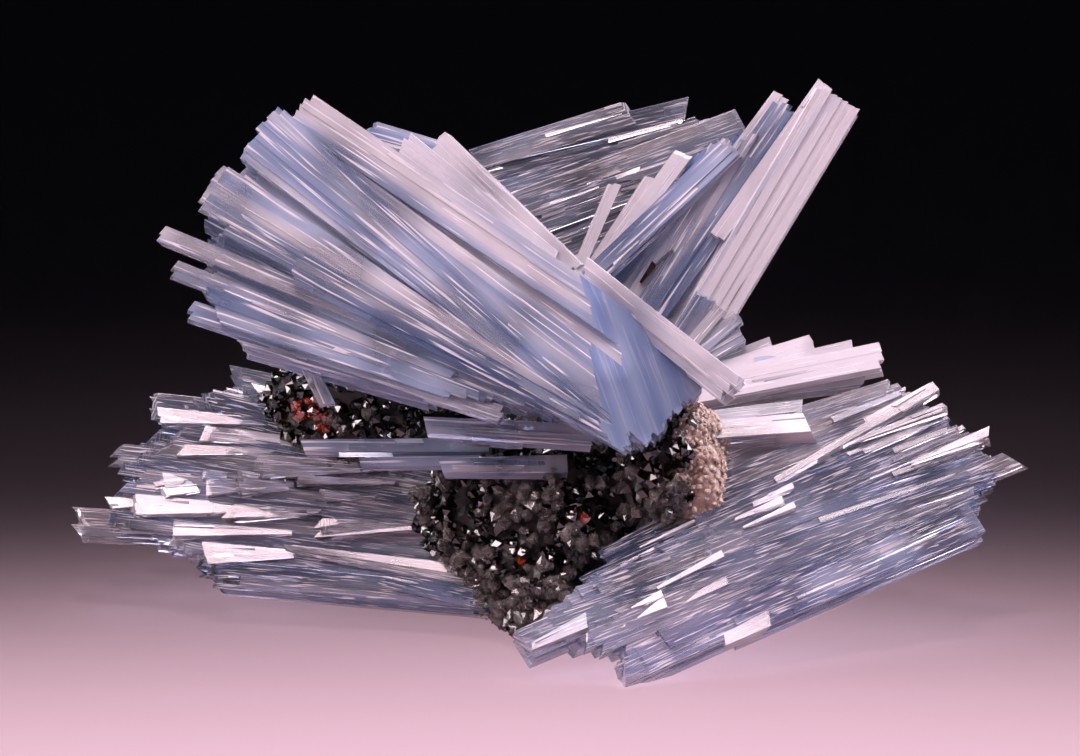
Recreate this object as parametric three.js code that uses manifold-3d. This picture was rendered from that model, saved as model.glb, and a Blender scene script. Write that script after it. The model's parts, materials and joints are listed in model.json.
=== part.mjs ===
// A barite specimen: pale blue bladed crystals, grown in fans and sheaves, on a lump of dark matrix.
// Millimetres, +Z up. The origin is under the middle of the specimen, on the surface that it rests on.

import * as THREE from 'three';
import { mergeVertices } from 'three/addons/utils/BufferGeometryUtils.js';
import Module from 'manifold-3d';

const wasm = await Module();
wasm.setup();

// Driving dimensions, in millimetres and degrees.
// The pieces are laid out on a plane that leans back: u runs to the right, v up the plane, w out of it.
const LEAN = 15;
const BASE_LEVEL = 5.6; // height of the resting surface in the leaning layout, measured along +Z
const SEAT_GAP = 0.3; // gap between a crystal's root and the rock that it grows from
const SHORTEST_EDGE = 0.1; // smaller edges left by joining the blades are tidied away

// The section of a blade, in halves of its width and thickness: a plain plate, or a prism with edges bevelled.
const BROAD_FACE_SHARE = 0.72;
const PLATE = [[1, 1], [-1, 1], [-1, -1], [1, -1]];
const PRISM = [
  [1, 0], [BROAD_FACE_SHARE, 1], [-BROAD_FACE_SHARE, 1],
  [-1, 0], [-BROAD_FACE_SHARE, -1], [BROAD_FACE_SHARE, -1],
];
const TIP_SCALE = [0.62, 0.86]; // a blade narrows to this share of its section at its tip
const TIP_LENGTH_SHARE = 0.55; // length of that narrowing, as a share of the blade's width
const END_SLANT = 0.45; // the ends are cut across at up to this slope

// Ribs are the blades that fill a fan from edge to edge, ledges the ones that lie on its two faces.
const RIB_OVERLAP = 1.45; // a rib's width over the spacing of the ribs
const RIB_STEP = 0.32; // ribs stand in or out of the fan by up to this share of its thickness
const RIB_THINNEST = 0.62; // thinnest rib, as a share of the fan's thickness
const LEDGE_WIDTH = [1.0, 2.3]; // widths of the ledges, as multiples of the spacing of the ribs
const LEDGE_START = [0.02, 0.5]; // where ledges begin along a rib, from its root at 0 to its tip at 1
const LEDGE_LENGTH = [0.28, 0.5];

const BARITE = { color: 0xaebbd2, roughness: 0.22, metalness: 0 };
const CLEAR_BARITE = { color: 0x9aa6bb, roughness: 0.18, metalness: 0 };
const MATRIX = { color: 0x2a2320, roughness: 0.5, metalness: 0 };

// Each fan lies on its own plane: `at` is a point (u, v, w) of it and `slope` is how w changes along u and v.
// `roots` and `tips` are the lines that its ribs start and end on, and `jag` is how far tips fall short.
// `blades` are single crystals that stand out: [from, to, width, thickness, how far out, scale at the root].
// `clearOf` names the fans in front, which a fan stops short of where they meet.
const FANS = [
  {
    name: 'upper_left_fan',
    material: BARITE,
    seed: 11,
    plane: { at: [-10, 40, 9], slope: [0.05, -0.25] },
    roots: [[16, 30], [9.6, 22.6], [6.4, 24.4], [1.6, 27], [-5, 28], [-12, 28.6]],
    tips: [[-23, 56.4], [-27.5, 53.5], [-32, 49.5], [-34.4, 45], [-34.6, 40], [-31, 33.8]],
    ribs: 14,
    ledges: 8,
    jag: 3.2,
    thickness: 5,
    blades: [
      [[8.8, 23.4], [-28.6, 54.6], 6.2, 2.4, 2.6, 0.3],
      [[4.5, 37.4], [-24.4, 56.8], 3.6, 3, 1.4],
      [[8.6, 23], [-33.6, 49.2], 4.8, 2.2, 2.9, 0.3],
      [[7.4, 24], [-25, 41], 3, 2, 3.4, 0.4],
      [[-6, 31.4], [-37.9, 44.2], 1.5, 1.5, 2.2],
      [[-9, 29.8], [-37.2, 41], 1.5, 1.5, 2],
      [[-4, 26.4], [-35.4, 36.9], 1.7, 1.6, 1.4],
      [[9.5, 22.2], [3.6, 41.6], 6.4, 3.2, 1.8, 0.25],
      [[4.4, 40.6], [18.8, 29], 2.9, 2.9, 1.2],
      [[9, 33], [16.6, 28.2], 2.2, 2, 1.2],
      [[3, 41.5], [-10.6, 54.6], 1.9, 1.8, -1.8],
      [[1, 42], [-14.6, 54.4], 2.3, 1.6, -0.8],
      [[-8.6, 53], [-18, 55.7], 2.2, 1.2, -2.2],
      [[-24.6, 33.6], [-21.7, 28], 1.3, 1, -1],
    ],
  },
  {
    name: 'upper_right_sheaf',
    material: BARITE,
    seed: 23,
    clearOf: ['upper_left_fan'],
    plane: { at: [15, 45, -5], slope: [0.02, -0.16] },
    roots: [[3, 36], [7, 31], [12, 27]],
    tips: [[15.6, 53], [22.6, 57], [28.4, 57]],
    ribs: 6,
    ledges: 2,
    jag: 2.4,
    thickness: 4.2,
    blades: [
      [[11, 27.5], [29.4, 58.4], 4.7, 4.6, 1.4],
      [[6.4, 31], [25, 57.8], 3.6, 3, 0.4],
      [[4.4, 39.9], [18.9, 53.6], 2.3, 2.6, 1.6],
      [[2.9, 40.6], [6.9, 49.9], 1.1, 1.2, 1],
      [[3.6, 40], [10.9, 50.9], 1.3, 1.3, 0.6],
      [[4.6, 40.4], [14, 53.2], 1.5, 1.4, 1],
      [[14, 46], [23.9, 59.2], 1.5, 1.6, 0.6],
      [[17, 44], [28, 59.5], 1.5, 1.6, 2.4],
      [[13, 30], [19.8, 40], 1.6, 1.6, -1.6],
      [[10.5, 29], [16.6, 38.2], 2.4, 2.2, 3],
    ],
  },
  {
    name: 'back_fan',
    material: CLEAR_BARITE,
    seed: 37,
    clearOf: ['upper_right_sheaf', 'upper_left_fan'],
    plane: { at: [5, 50, -13], slope: [0, -0.08] },
    roots: [[-9.4, 52.6], [-12, 45], [-10, 38], [-6, 31], [0, 26]],
    tips: [[13, 57.6], [19, 55.4], [19.4, 49.6], [16.4, 42], [12, 34]],
    ribs: 10,
    ledges: 5,
    jag: 1.4,
    thickness: 2.6,
    blades: [
      [[-7.6, 52.6], [8.6, 57.5], 1.9, 1.4, 0.6],
      [[-4, 53.6], [14.6, 58], 1.7, 1.4, 0.2],
      [[-8, 46], [19.9, 56.2], 2.6, 1.6, 0.8],
    ],
  },
  {
    name: 'lower_right_fan',
    material: CLEAR_BARITE,
    seed: 53,
    plane: { at: [20, 15, 9.5], slope: [-0.12, -0.62] },
    roots: [[16.6, 24], [16.4, 18], [13.4, 13], [4.5, 9.2], [-1.6, 5.4], [7.4, 2.4], [17.6, 5.8]],
    tips: [[35.6, 29.8], [39.8, 26.6], [43.2, 24.2], [45.6, 21.4], [44, 18.8], [42.2, 16.6]],
    ribs: 17,
    ledges: 11,
    jag: 1.8,
    thickness: 4,
    blades: [
      [[6.6, 0.8], [24, 8.6], 2.6, 3.2, 0.2],
      [[17.5, 5.2], [43, 16], 2.4, 3.2, 0.2],
      [[-2.4, 3.6], [20, 13], 2.6, 3, 0.4],
      [[20, 11], [47, 22], 1.6, 1.6, 0.6],
      [[22, 19], [39, 28.6], 1.2, 1.2, 1.8],
      [[9, 23.2], [26.2, 24.4], 1.9, 2, 2.2],
      [[9, 24.6], [25.2, 26.4], 1.6, 1.6, 1.4],
    ],
  },
  {
    name: 'lower_left_fan',
    material: CLEAR_BARITE,
    seed: 67,
    plane: { at: [-25, 15, -3], slope: [0.12, -0.5] },
    roots: [[-13, 25.4], [-9, 21.6], [-6, 17], [-5, 12.4], [-4, 9], [-3.4, 7.6]],
    tips: [[-30.6, 29.2], [-37, 27.4], [-41.6, 22], [-45, 16.6], [-37, 13.4], [-32.4, 10.6]],
    ribs: 13,
    ledges: 8,
    jag: 2.6,
    thickness: 4.4,
    blades: [
      [[-16, 25], [-39.6, 27.2], 2.2, 2.2, 0.6],
      [[-12, 19.4], [-43.4, 22.4], 1.8, 2, 0.8],
      [[-10, 13.6], [-47, 15.6], 2.4, 2.4, 0.4],
      [[-3.4, 7.6], [-32.8, 10.2], 2.2, 3, 0.6],
      [[-2.8, 7.2], [-25, 11.6], 2.4, 2.2, 2],
      [[-12, 16.4], [-37, 18.4], 2.6, 1.4, 2.4],
      [[-14, 27], [-31.4, 30.4], 1.8, 1.8, 0.4],
    ],
  },
  {
    name: 'right_spray',
    material: BARITE,
    seed: 41,
    clearOf: ['upper_right_sheaf', 'lower_right_fan'],
    plane: { at: [24, 30, 0.6], slope: [-0.1, -0.42] },
    roots: [[13, 31], [13, 28.8], [13, 27.4]],
    tips: [[22.6, 32.6], [29.6, 32.2], [32, 29.8]],
    ribs: 4,
    ledges: 0,
    jag: 2.2,
    thickness: 2.4,
    blades: [
      [[12, 27.8], [33.5, 32], 2.4, 2.6, 1.2],
      [[12, 29], [30.7, 33.2], 1.4, 1.6, 0.4],
      [[12, 29.6], [27, 34], 1.4, 1.6, 0],
      [[12, 30], [22.8, 34], 1.3, 1.4, -0.4],
      [[12, 30], [19.6, 34.4], 1.3, 1.6, 0.9],
      [[12, 30], [19.3, 36.2], 1.2, 1.6, 1.3],
      [[12, 30.4], [17.4, 36.8], 1.1, 1.6, 1.7],
    ],
  },
];

// Single crystals that grow straight out of the rock, with their ends as (u, v, w).
const RODS = [
  { name: 'front_rod_upper', from: [4.4, 24.6, 10.2], to: [-11.8, 25.6, 11.6], width: 2.9, thickness: 2.7 },
  { name: 'front_rod_lower', from: [2, 21.7, 9.4], to: [-10.3, 21.6, 10.8], width: 2.6, thickness: 2.4 },
  { name: 'left_rod_long', from: [-3, 23.6, 5.6], to: [-24.1, 23.6, 8], width: 2.1, thickness: 2.1 },
  { name: 'left_rod_short', from: [-4, 22.2, 7], to: [-18.4, 22, 9], width: 1.6, thickness: 1.6 },
];
const ROD_FACING = [0, 0.35, 1];

// The rock is a few knobs grown together: centre (u, v, w) and radii of each.
const KNOBS = [
  { at: [1.4, 17, 1], radii: [13.6, 10.4, 8.8], detail: 4, seed: 3 },
  { at: [12, 22, 5.6], radii: [6, 7.2, 7.4], detail: 2, seed: 5 },
  { at: [-14, 28, -8], radii: [14, 6.8, 8], detail: 2, seed: 7 },
  { at: [3, 16.6, -8], radii: [13, 11, 10], detail: 2, seed: 9 },
  { at: [0.4, 9.4, 4.4], radii: [4.8, 5.6, 6], detail: 2, seed: 13 },
];
const KNOB_ROUGHNESS = 0.09; // bumps on a knob, as a share of its radius
const DRUSE = { points: 30, radius: [0.55, 1.25], height: [1.1, 2.1], clearance: 1.5, seed: 71 };

const toRadians = THREE.MathUtils.degToRad;
const lerp = THREE.MathUtils.lerp;

/** A repeatable random function, returning numbers from `low` to `high`. */
function randomFrom(seed) {
  let state = seed;
  return (low = 0, high = 1) => {
    state = (state + 0x6d2b79f5) | 0;
    let mixed = Math.imul(state ^ (state >>> 15), 1 | state);
    mixed = (mixed + Math.imul(mixed ^ (mixed >>> 7), 61 | mixed)) ^ mixed;
    return lerp(low, high, ((mixed ^ (mixed >>> 14)) >>> 0) / 4294967296);
  };
}

/** A closed geometry as a solid that can be joined and cut. */
function solidOf(geometry) {
  const bare = geometry.clone();
  bare.deleteAttribute('normal');
  bare.deleteAttribute('uv');
  const merged = mergeVertices(bare);
  return new wasm.Manifold(new wasm.Mesh({
    numProp: 3,
    vertProperties: merged.attributes.position.array,
    triVerts: new Uint32Array(merged.index.array),
  }));
}

/** A solid as a flat-shaded geometry. */
function geometryOf(solid) {
  const { vertProperties, triVerts } = solid.getMesh();
  const geometry = new THREE.BufferGeometry()
    .setAttribute('position', new THREE.BufferAttribute(vertProperties, 3))
    .setIndex(new THREE.BufferAttribute(triVerts, 1))
    .toNonIndexed();
  geometry.computeVertexNormals();
  return geometry;
}

/** The largest separate body of a solid, without the splinters that a cut can leave. */
function mainBody(solid) {
  return solid.decompose().reduce((a, b) => (b.volume() > a.volume() ? b : a));
}

/**
 * A flat-faced blade between two points, its broad faces square to `facing` and its ends cut on a slant.
 * `grow` moves its whole skin out, for a copy that other crystals keep clear of.
 */
function bladeGeometry(blade, grow = 0) {
  const { from, to, facing, section, rootScale, tipScale, rootSlant, tipSlant } = blade;
  const width = blade.width + 2 * grow;
  const thickness = blade.thickness + 2 * grow;
  const along = to.clone().sub(from);
  const length = along.length();
  along.normalize();
  const across = new THREE.Vector3().crossVectors(facing, along).normalize();
  const out = new THREE.Vector3().crossVectors(along, across);
  const sides = section.length;
  const stations = [
    { reach: -grow, scale: rootScale, slant: rootSlant },
    { reach: length + grow, scale: 1, slant: tipSlant },
  ];
  if (tipScale < 1) {
    stations[1].reach -= Math.min(TIP_LENGTH_SHARE * width, length / 3);
    stations.push({ reach: length + grow, scale: tipScale, slant: tipSlant });
  }

  const positions = [];
  for (const { reach, scale, slant } of stations) {
    for (const [side, face] of section) {
      const sideways = (side * scale * width) / 2;
      const point = from.clone()
        .addScaledVector(along, reach + slant * sideways)
        .addScaledVector(across, sideways)
        .addScaledVector(out, (face * scale * thickness) / 2);
      positions.push(...point.toArray());
    }
  }

  const triangles = [];
  for (let ring = 0; ring < stations.length - 1; ring += 1) {
    for (let corner = 0; corner < sides; corner += 1) {
      const near = ring * sides + corner;
      const next = ring * sides + ((corner + 1) % sides);
      triangles.push(near, next, near + sides, next, next + sides, near + sides);
    }
  }
  const last = (stations.length - 1) * sides;
  for (let corner = 1; corner < sides - 1; corner += 1) {
    triangles.push(0, corner + 1, corner);
    triangles.push(last, last + corner, last + corner + 1);
  }
  return new THREE.BufferGeometry()
    .setAttribute('position', new THREE.Float32BufferAttribute(positions, 3))
    .setIndex(triangles);
}

/** The point a share of the way along a line of evenly spaced points. */
function pointOn(line, share) {
  const place = Math.min(Math.max(share, 0), 1) * (line.length - 1);
  const index = Math.min(Math.floor(place), line.length - 2);
  const [a, b] = [line[index], line[index + 1]];
  return [lerp(a[0], b[0], place - index), lerp(a[1], b[1], place - index)];
}

/** The unit normal of a fan's plane. */
function normalOf({ slope }) {
  return new THREE.Vector3(-slope[0], -slope[1], 1).normalize();
}

/** The point of a fan's plane at (u, v), moved out of the plane along its normal. */
function lift(plane, [u, v], out) {
  const { at, slope } = plane;
  const w = at[2] + slope[0] * (u - at[0]) + slope[1] * (v - at[1]);
  return new THREE.Vector3(u, v, w).addScaledVector(normalOf(plane), out);
}

/** How far apart the ribs of a fan are on one of its lines. */
function spacingOn(fan, line, share) {
  const half = 0.5 / fan.ribs;
  const a = lift(fan.plane, pointOn(line, share - half), 0);
  const b = lift(fan.plane, pointOn(line, share + half), 0);
  return a.distanceTo(b);
}

/** The ribs that fill a fan, side by side from its first edge to its last. */
function ribsOf(fan, random) {
  const ribs = [];
  for (let i = 0; i < fan.ribs; i += 1) {
    const share = (i + 0.5) / fan.ribs;
    const atRoot = spacingOn(fan, fan.roots, share);
    const atTip = spacingOn(fan, fan.tips, share);
    const spacing = Math.max(atRoot, atTip);
    const out = random(-RIB_STEP, RIB_STEP) * fan.thickness;
    const from = lift(fan.plane, pointOn(fan.roots, share), out);
    const to = lift(fan.plane, pointOn(fan.tips, share), out);
    const short = random(0, fan.jag) / from.distanceTo(to);
    ribs.push({
      from,
      to: to.lerp(from, short),
      facing: normalOf(fan.plane),
      section: PLATE,
      width: spacing * RIB_OVERLAP,
      thickness: fan.thickness * random(RIB_THINNEST, 1),
      rootScale: Math.max(atRoot / spacing, 0.35),
      tipScale: 1,
      rootSlant: random(-END_SLANT, END_SLANT),
      tipSlant: random(-END_SLANT, END_SLANT),
    });
  }
  return ribs;
}

/** Shorter blades that lie on the two faces of a fan and make its steps. */
function ledgesOf(fan, random) {
  const ledges = [];
  for (let i = 0; i < fan.ledges; i += 1) {
    const side = i % 3 === 2 ? -1 : 1;
    const share = (i + random(0.1, 0.9)) / fan.ledges;
    const [root, tip] = [pointOn(fan.roots, share), pointOn(fan.tips, share)];
    const start = random(...LEDGE_START);
    const end = Math.min(start + random(...LEDGE_LENGTH), 0.97);
    const out = side * fan.thickness * random(0.34, 0.5);
    const place = (at) => lift(fan.plane, [lerp(root[0], tip[0], at), lerp(root[1], tip[1], at)], out);
    const spacing = Math.max(spacingOn(fan, fan.roots, share), spacingOn(fan, fan.tips, share));
    ledges.push({
      from: place(start),
      to: place(end),
      facing: normalOf(fan.plane).multiplyScalar(side),
      section: PLATE,
      width: spacing * random(...LEDGE_WIDTH),
      thickness: fan.thickness * random(0.25, 0.42),
      rootScale: random(0.5, 0.8),
      tipScale: 1,
      rootSlant: random(-END_SLANT, END_SLANT),
      tipSlant: random(-END_SLANT, END_SLANT),
    });
  }
  return ledges;
}

/** The single crystals that stand out of a fan, at their own sizes. */
function standingBladesOf(fan, random) {
  return fan.blades.map(([from, to, width, thickness, out, rootScale = 0.9]) => ({
    from: lift(fan.plane, from, out),
    to: lift(fan.plane, to, out),
    facing: normalOf(fan.plane),
    section: PRISM,
    width,
    thickness,
    rootScale,
    tipScale: random(...TIP_SCALE),
    rootSlant: random(-END_SLANT, END_SLANT),
    tipSlant: random(-END_SLANT, END_SLANT),
  }));
}

/** All the blades of a fan. */
function bladesOf(fan) {
  const random = randomFrom(fan.seed);
  return [...ribsOf(fan, random), ...ledgesOf(fan, random), ...standingBladesOf(fan, random)];
}

/** The one blade of a single crystal. */
function rodBlade({ from, to, width, thickness }) {
  return {
    from: new THREE.Vector3(...from),
    to: new THREE.Vector3(...to),
    facing: new THREE.Vector3(...ROD_FACING).normalize(),
    section: PRISM,
    width,
    thickness,
    rootScale: 1,
    tipScale: 0.7,
    rootSlant: 0,
    tipSlant: -0.25,
  };
}

/** Blades grown together in one solid. */
function grownTogether(blades, grow = 0) {
  return wasm.Manifold.union(blades.map((blade) => solidOf(bladeGeometry(blade, grow))));
}

/** How far a knob's surface stands out in a direction, about 1. */
function knobReach(direction, phases) {
  const wave = (turns, i) => Math.sin(turns * direction.x + phases[i])
    * Math.sin(turns * direction.y + phases[i + 1])
    * Math.sin(turns * direction.z + phases[i + 2]);
  return 1 + KNOB_ROUGHNESS * (1.6 * wave(3.1, 0) + 1.2 * wave(6.7, 3) + 0.8 * wave(13.9, 6));
}

/** One knob of the rock, with its skin moved out by `extra`. */
function knobGeometry({ at, radii, detail, seed }, extra = 0) {
  const random = randomFrom(seed);
  const phases = Array.from({ length: 9 }, () => random(0, 2 * Math.PI));
  const ball = new THREE.IcosahedronGeometry(1, detail);
  ball.deleteAttribute('normal');
  ball.deleteAttribute('uv');
  const geometry = mergeVertices(ball);
  const points = geometry.attributes.position;
  const direction = new THREE.Vector3();
  for (let i = 0; i < points.count; i += 1) {
    direction.fromBufferAttribute(points, i).normalize();
    const reach = knobReach(direction, phases);
    const grown = radii.map((radius) => radius * reach + extra);
    points.setXYZ(
      i,
      at[0] + direction.x * grown[0],
      at[1] + direction.y * grown[1],
      at[2] + direction.z * grown[2],
    );
  }
  return geometry;
}

/** Small quartz points that stud the bare rock, keeping clear of the barite. */
function drusePoints(rock, crystals) {
  const random = randomFrom(DRUSE.seed);
  const up = new THREE.Vector3(0, 1, 0);
  const points = [];
  for (let i = 0; i < DRUSE.points; i += 1) {
    const knob = KNOBS[i % KNOBS.length];
    const surface = knobGeometry(knob).attributes.position;
    const root = new THREE.Vector3().fromBufferAttribute(surface, Math.floor(random(0, surface.count)));
    const outward = root.clone().sub(new THREE.Vector3(...knob.at)).normalize();
    const radius = random(...DRUSE.radius);
    const height = random(...DRUSE.height);
    const cone = (grow) => solidOf(new THREE.ConeGeometry(radius * grow, height * grow, 6)
      .applyQuaternion(new THREE.Quaternion().setFromUnitVectors(up, outward))
      .translate(...root.toArray()));
    const near = cone(DRUSE.clearance);
    const bare = crystals.every((crystal) => crystal.intersect(near).isEmpty());
    const shows = !cone(1).subtract(rock).isEmpty();
    if (bare && shows) points.push(cone(1));
  }
  return points;
}

const layoutTurn = new THREE.Matrix4().makeRotationX(toRadians(90 - LEAN));
const floorCut = solidOf(new THREE.BoxGeometry(300, 300, 100)
  .translate(0, 0, BASE_LEVEL - 50)
  .applyMatrix4(layoutTurn.clone().invert()));

const rock = wasm.Manifold.union(KNOBS.map((knob) => solidOf(knobGeometry(knob)))).subtract(floorCut);
const seat = wasm.Manifold.union(KNOBS.map((knob) => solidOf(knobGeometry(knob, 2 * SEAT_GAP))));

const crystals = [];
const grownCopies = new Map();
const growths = [
  ...FANS.map((fan) => ({ ...fan, blades: bladesOf(fan) })),
  ...RODS.map((rod) => ({ ...rod, material: BARITE, blades: [rodBlade(rod)], clearOf: ['upper_left_fan'] })),
];
for (const { name, material, blades, clearOf = [] } of growths) {
  let solid = grownTogether(blades).subtract(seat).subtract(floorCut);
  for (const neighbour of clearOf) solid = solid.subtract(grownCopies.get(neighbour));
  grownCopies.set(name, grownTogether(blades, SEAT_GAP));
  crystals.push({ name, material, solid: mainBody(solid.simplify(SHORTEST_EDGE)) });
}
const druse = drusePoints(rock, crystals.map(({ solid }) => solid));
const matrix = mainBody(wasm.Manifold.union([rock, ...druse]).subtract(floorCut).simplify(SHORTEST_EDGE));

const layout = new THREE.Group();
layout.rotation.x = toRadians(90 - LEAN);
for (const { name, material, solid } of [{ name: 'matrix', material: MATRIX, solid: matrix }, ...crystals]) {
  const mesh = new THREE.Mesh(geometryOf(solid), new THREE.MeshStandardMaterial(material));
  mesh.name = name;
  layout.add(mesh);
}

const specimen = new THREE.Group();
specimen.add(layout);
const box = new THREE.Box3().setFromObject(specimen, true);
const middle = box.getCenter(new THREE.Vector3());
layout.position.set(-middle.x, -middle.y, -box.min.z);

export default specimen;
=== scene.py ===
"""The looks of a barite specimen: fans of pale blue bladed crystals on a lump of dark, druse-covered rock.

Each fan is grown again from the lines that its solid follows, with many finer blades joined in one closed
mesh, so that light passes through it as through one crystal. The rock gets its druse of quartz and
sphalerite grains.
"""

import json
import logging
import math
import random
from dataclasses import dataclass
from enum import Enum
from typing import NamedTuple, Sequence

import bmesh
import bpy
from mathutils import Matrix, Quaternion, Vector, noise

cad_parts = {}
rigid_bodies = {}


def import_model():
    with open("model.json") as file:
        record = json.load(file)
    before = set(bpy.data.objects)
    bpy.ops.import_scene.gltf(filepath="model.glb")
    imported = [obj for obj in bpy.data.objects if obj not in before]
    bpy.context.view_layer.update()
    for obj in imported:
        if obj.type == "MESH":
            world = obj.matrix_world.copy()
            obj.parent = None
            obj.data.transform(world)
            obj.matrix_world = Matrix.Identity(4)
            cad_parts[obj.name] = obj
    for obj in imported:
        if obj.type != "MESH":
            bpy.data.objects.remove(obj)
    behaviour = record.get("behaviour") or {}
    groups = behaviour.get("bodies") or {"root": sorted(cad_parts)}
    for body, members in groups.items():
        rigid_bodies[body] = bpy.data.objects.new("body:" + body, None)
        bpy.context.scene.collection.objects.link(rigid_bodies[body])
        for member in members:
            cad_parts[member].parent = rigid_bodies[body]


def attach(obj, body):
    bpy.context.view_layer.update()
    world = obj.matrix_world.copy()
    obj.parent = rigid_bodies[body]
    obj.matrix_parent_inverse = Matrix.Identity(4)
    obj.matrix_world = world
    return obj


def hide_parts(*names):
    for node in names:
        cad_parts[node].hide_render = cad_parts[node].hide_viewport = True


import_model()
log = logging.getLogger("barite")

MM = 0.001  # metres in a millimetre
BODY = "root"

# Width of the image that the camera is set for, in pixels, and the size of a pixel at the specimen.
IMAGE_WIDTH = 1080
PIXEL_MM = 0.1

# Square millimetres in a square centimetre.
MM2_PER_CM2 = 100

# A noise texture's values lie around this middle, nearly all of them within this spread.
NOISE_MIDDLE = 0.5
NOISE_SPREAD = 0.22

# The blades' own length and width as texture coordinates, and the other values that their faces carry.
BLADE_UV = "blade_mm"
BLADE_VALUES = ("tint", "milk", "streaky", "rust")

# The stretch of the surface pattern that blades start in, by chance.
PATTERN_MM = (0.0, 90.0)

# Sockets of the Mix node when it mixes colours.
MIX_FACTOR, MIX_A, MIX_B, MIX_RESULT = 0, 6, 7, 2

Point = tuple[float, float]
Line = tuple[Point, ...]
Range = tuple[float, float]
Colour = tuple[float, float, float, float]


def linear(hex_colour: str) -> Colour:
    """Turns an sRGB hex colour to linear red, green, blue and alpha.

    Args:
        hex_colour: Six hex digits after a hash sign.

    Returns:
        The linear colour, with alpha 1.
    """
    channels = [int(hex_colour[i:i + 2], 16) / 255 for i in (1, 3, 5)]
    return (*[c / 12.92 if c <= 0.04045 else ((c + 0.055) / 1.055) ** 2.4 for c in channels], 1.0)


def add_node(
    tree: bpy.types.NodeTree,
    kind: str,
    inputs: dict | None = None,
    ramp: Sequence[tuple[float, str]] = (),
    **settings: object,
) -> bpy.types.Node:
    """Adds a node with its settings, and fills or links its inputs.

    Args:
        tree: Node tree to add to.
        kind: Type name of the node, without the leading "ShaderNode".
        inputs: Input name or number to a value, or to the output socket that feeds it.
        ramp: Stops of a colour ramp, as position and hex colour.
        settings: Properties of the node itself.

    Returns:
        The new node.
    """
    node = tree.nodes.new("ShaderNode" + kind)
    for name, value in settings.items():
        setattr(node, name, value)
    for name, value in (inputs or {}).items():
        if isinstance(value, bpy.types.NodeSocket):
            tree.links.new(value, node.inputs[name])
        else:
            node.inputs[name].default_value = value
    for i, (place, colour) in enumerate(ramp):
        stops = node.color_ramp.elements
        stop = stops[i] if i < 2 else stops.new(place)
        stop.position = place
        stop.color = linear(colour)
    return node


def maths(
    tree: bpy.types.NodeTree, operation: str, a: bpy.types.NodeSocket, b: bpy.types.NodeSocket | float,
) -> bpy.types.NodeSocket:
    """Joins two values by an operation, such as a sum or a product.

    Args:
        tree: Node tree to add to.
        operation: Name of the operation.
        a: The first value.
        b: The second value.

    Returns:
        The result.
    """
    return add_node(tree, "Math", {0: a, 1: b}, operation=operation).outputs[0]


def remapped(
    tree: bpy.types.NodeTree,
    value: bpy.types.NodeSocket,
    before: Range = (0.0, 1.0),
    after: Range = (0.0, 1.0),
) -> bpy.types.NodeSocket:
    """Maps a value from one range to another.

    Args:
        tree: Node tree to add to.
        value: The value.
        before: The range that it is taken from.
        after: The range that it is taken to, whose ends it doesn't pass.

    Returns:
        The new value.
    """
    inputs = {
        "Value": value,
        "From Min": before[0],
        "From Max": before[1],
        "To Min": after[0],
        "To Max": after[1],
    }
    return add_node(tree, "MapRange", inputs).outputs["Result"]


def mixed(
    tree: bpy.types.NodeTree,
    factor: bpy.types.NodeSocket,
    a: bpy.types.NodeSocket | Colour,
    b: Colour,
) -> bpy.types.NodeSocket:
    """Mixes two colours.

    Args:
        tree: Node tree to add to.
        factor: Share of the second colour.
        a: The first colour.
        b: The second colour.

    Returns:
        The mixed colour.
    """
    inputs = {MIX_FACTOR: factor, MIX_A: a, MIX_B: b}
    return add_node(tree, "Mix", inputs, data_type="RGBA").outputs[MIX_RESULT]


def new_material(name: str) -> tuple[bpy.types.Material, bpy.types.NodeTree, bpy.types.Node]:
    """Makes an empty node material.

    Args:
        name: Name of the material.

    Returns:
        The material, its node tree and its output node.
    """
    material = bpy.data.materials.new(name)
    material.use_nodes = True
    tree = material.node_tree
    tree.nodes.clear()
    return material, tree, add_node(tree, "OutputMaterial")


def link_piece(piece: bpy.types.Object, slot: str, *nodes: str) -> None:
    """Puts a piece in the scene, on the one body, in place of the solids that it stands for.

    Args:
        piece: The new piece.
        slot: Material slot of the record that its finish belongs to; not used.
        nodes: Solids that the piece replaces.
    """
    bpy.context.scene.collection.objects.link(piece)
    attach(piece, BODY)
    if nodes:
        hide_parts(*nodes)
    log.info("%s: %d faces", piece.name, len(piece.data.polygons))


@dataclass(frozen=True)
class Layout:
    """The plane that the specimen is laid out on, which leans back: u to the right, v up it, w out of it.

    Attributes:
        lean_deg: How far the plane leans back from upright.
        origin_mm: Where its origin lies in the frame.
    """

    lean_deg: float = 15.0
    origin_mm: tuple[float, float, float] = (-0.17, -4.455, -5.6)

    def matrix(self) -> Matrix:
        """Returns the transform from the layout's millimetres to the frame's metres."""
        turn = Matrix.Rotation(math.radians(90 - self.lean_deg), 4, "X")
        return Matrix.Scale(MM, 4) @ Matrix.Translation(self.origin_mm) @ turn

    def place(self, u: float, v: float, w: float) -> Vector:
        """Returns a point of the layout in the frame's metres."""
        return self.matrix() @ Vector((u, v, w))


LAYOUT = Layout()


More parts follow.
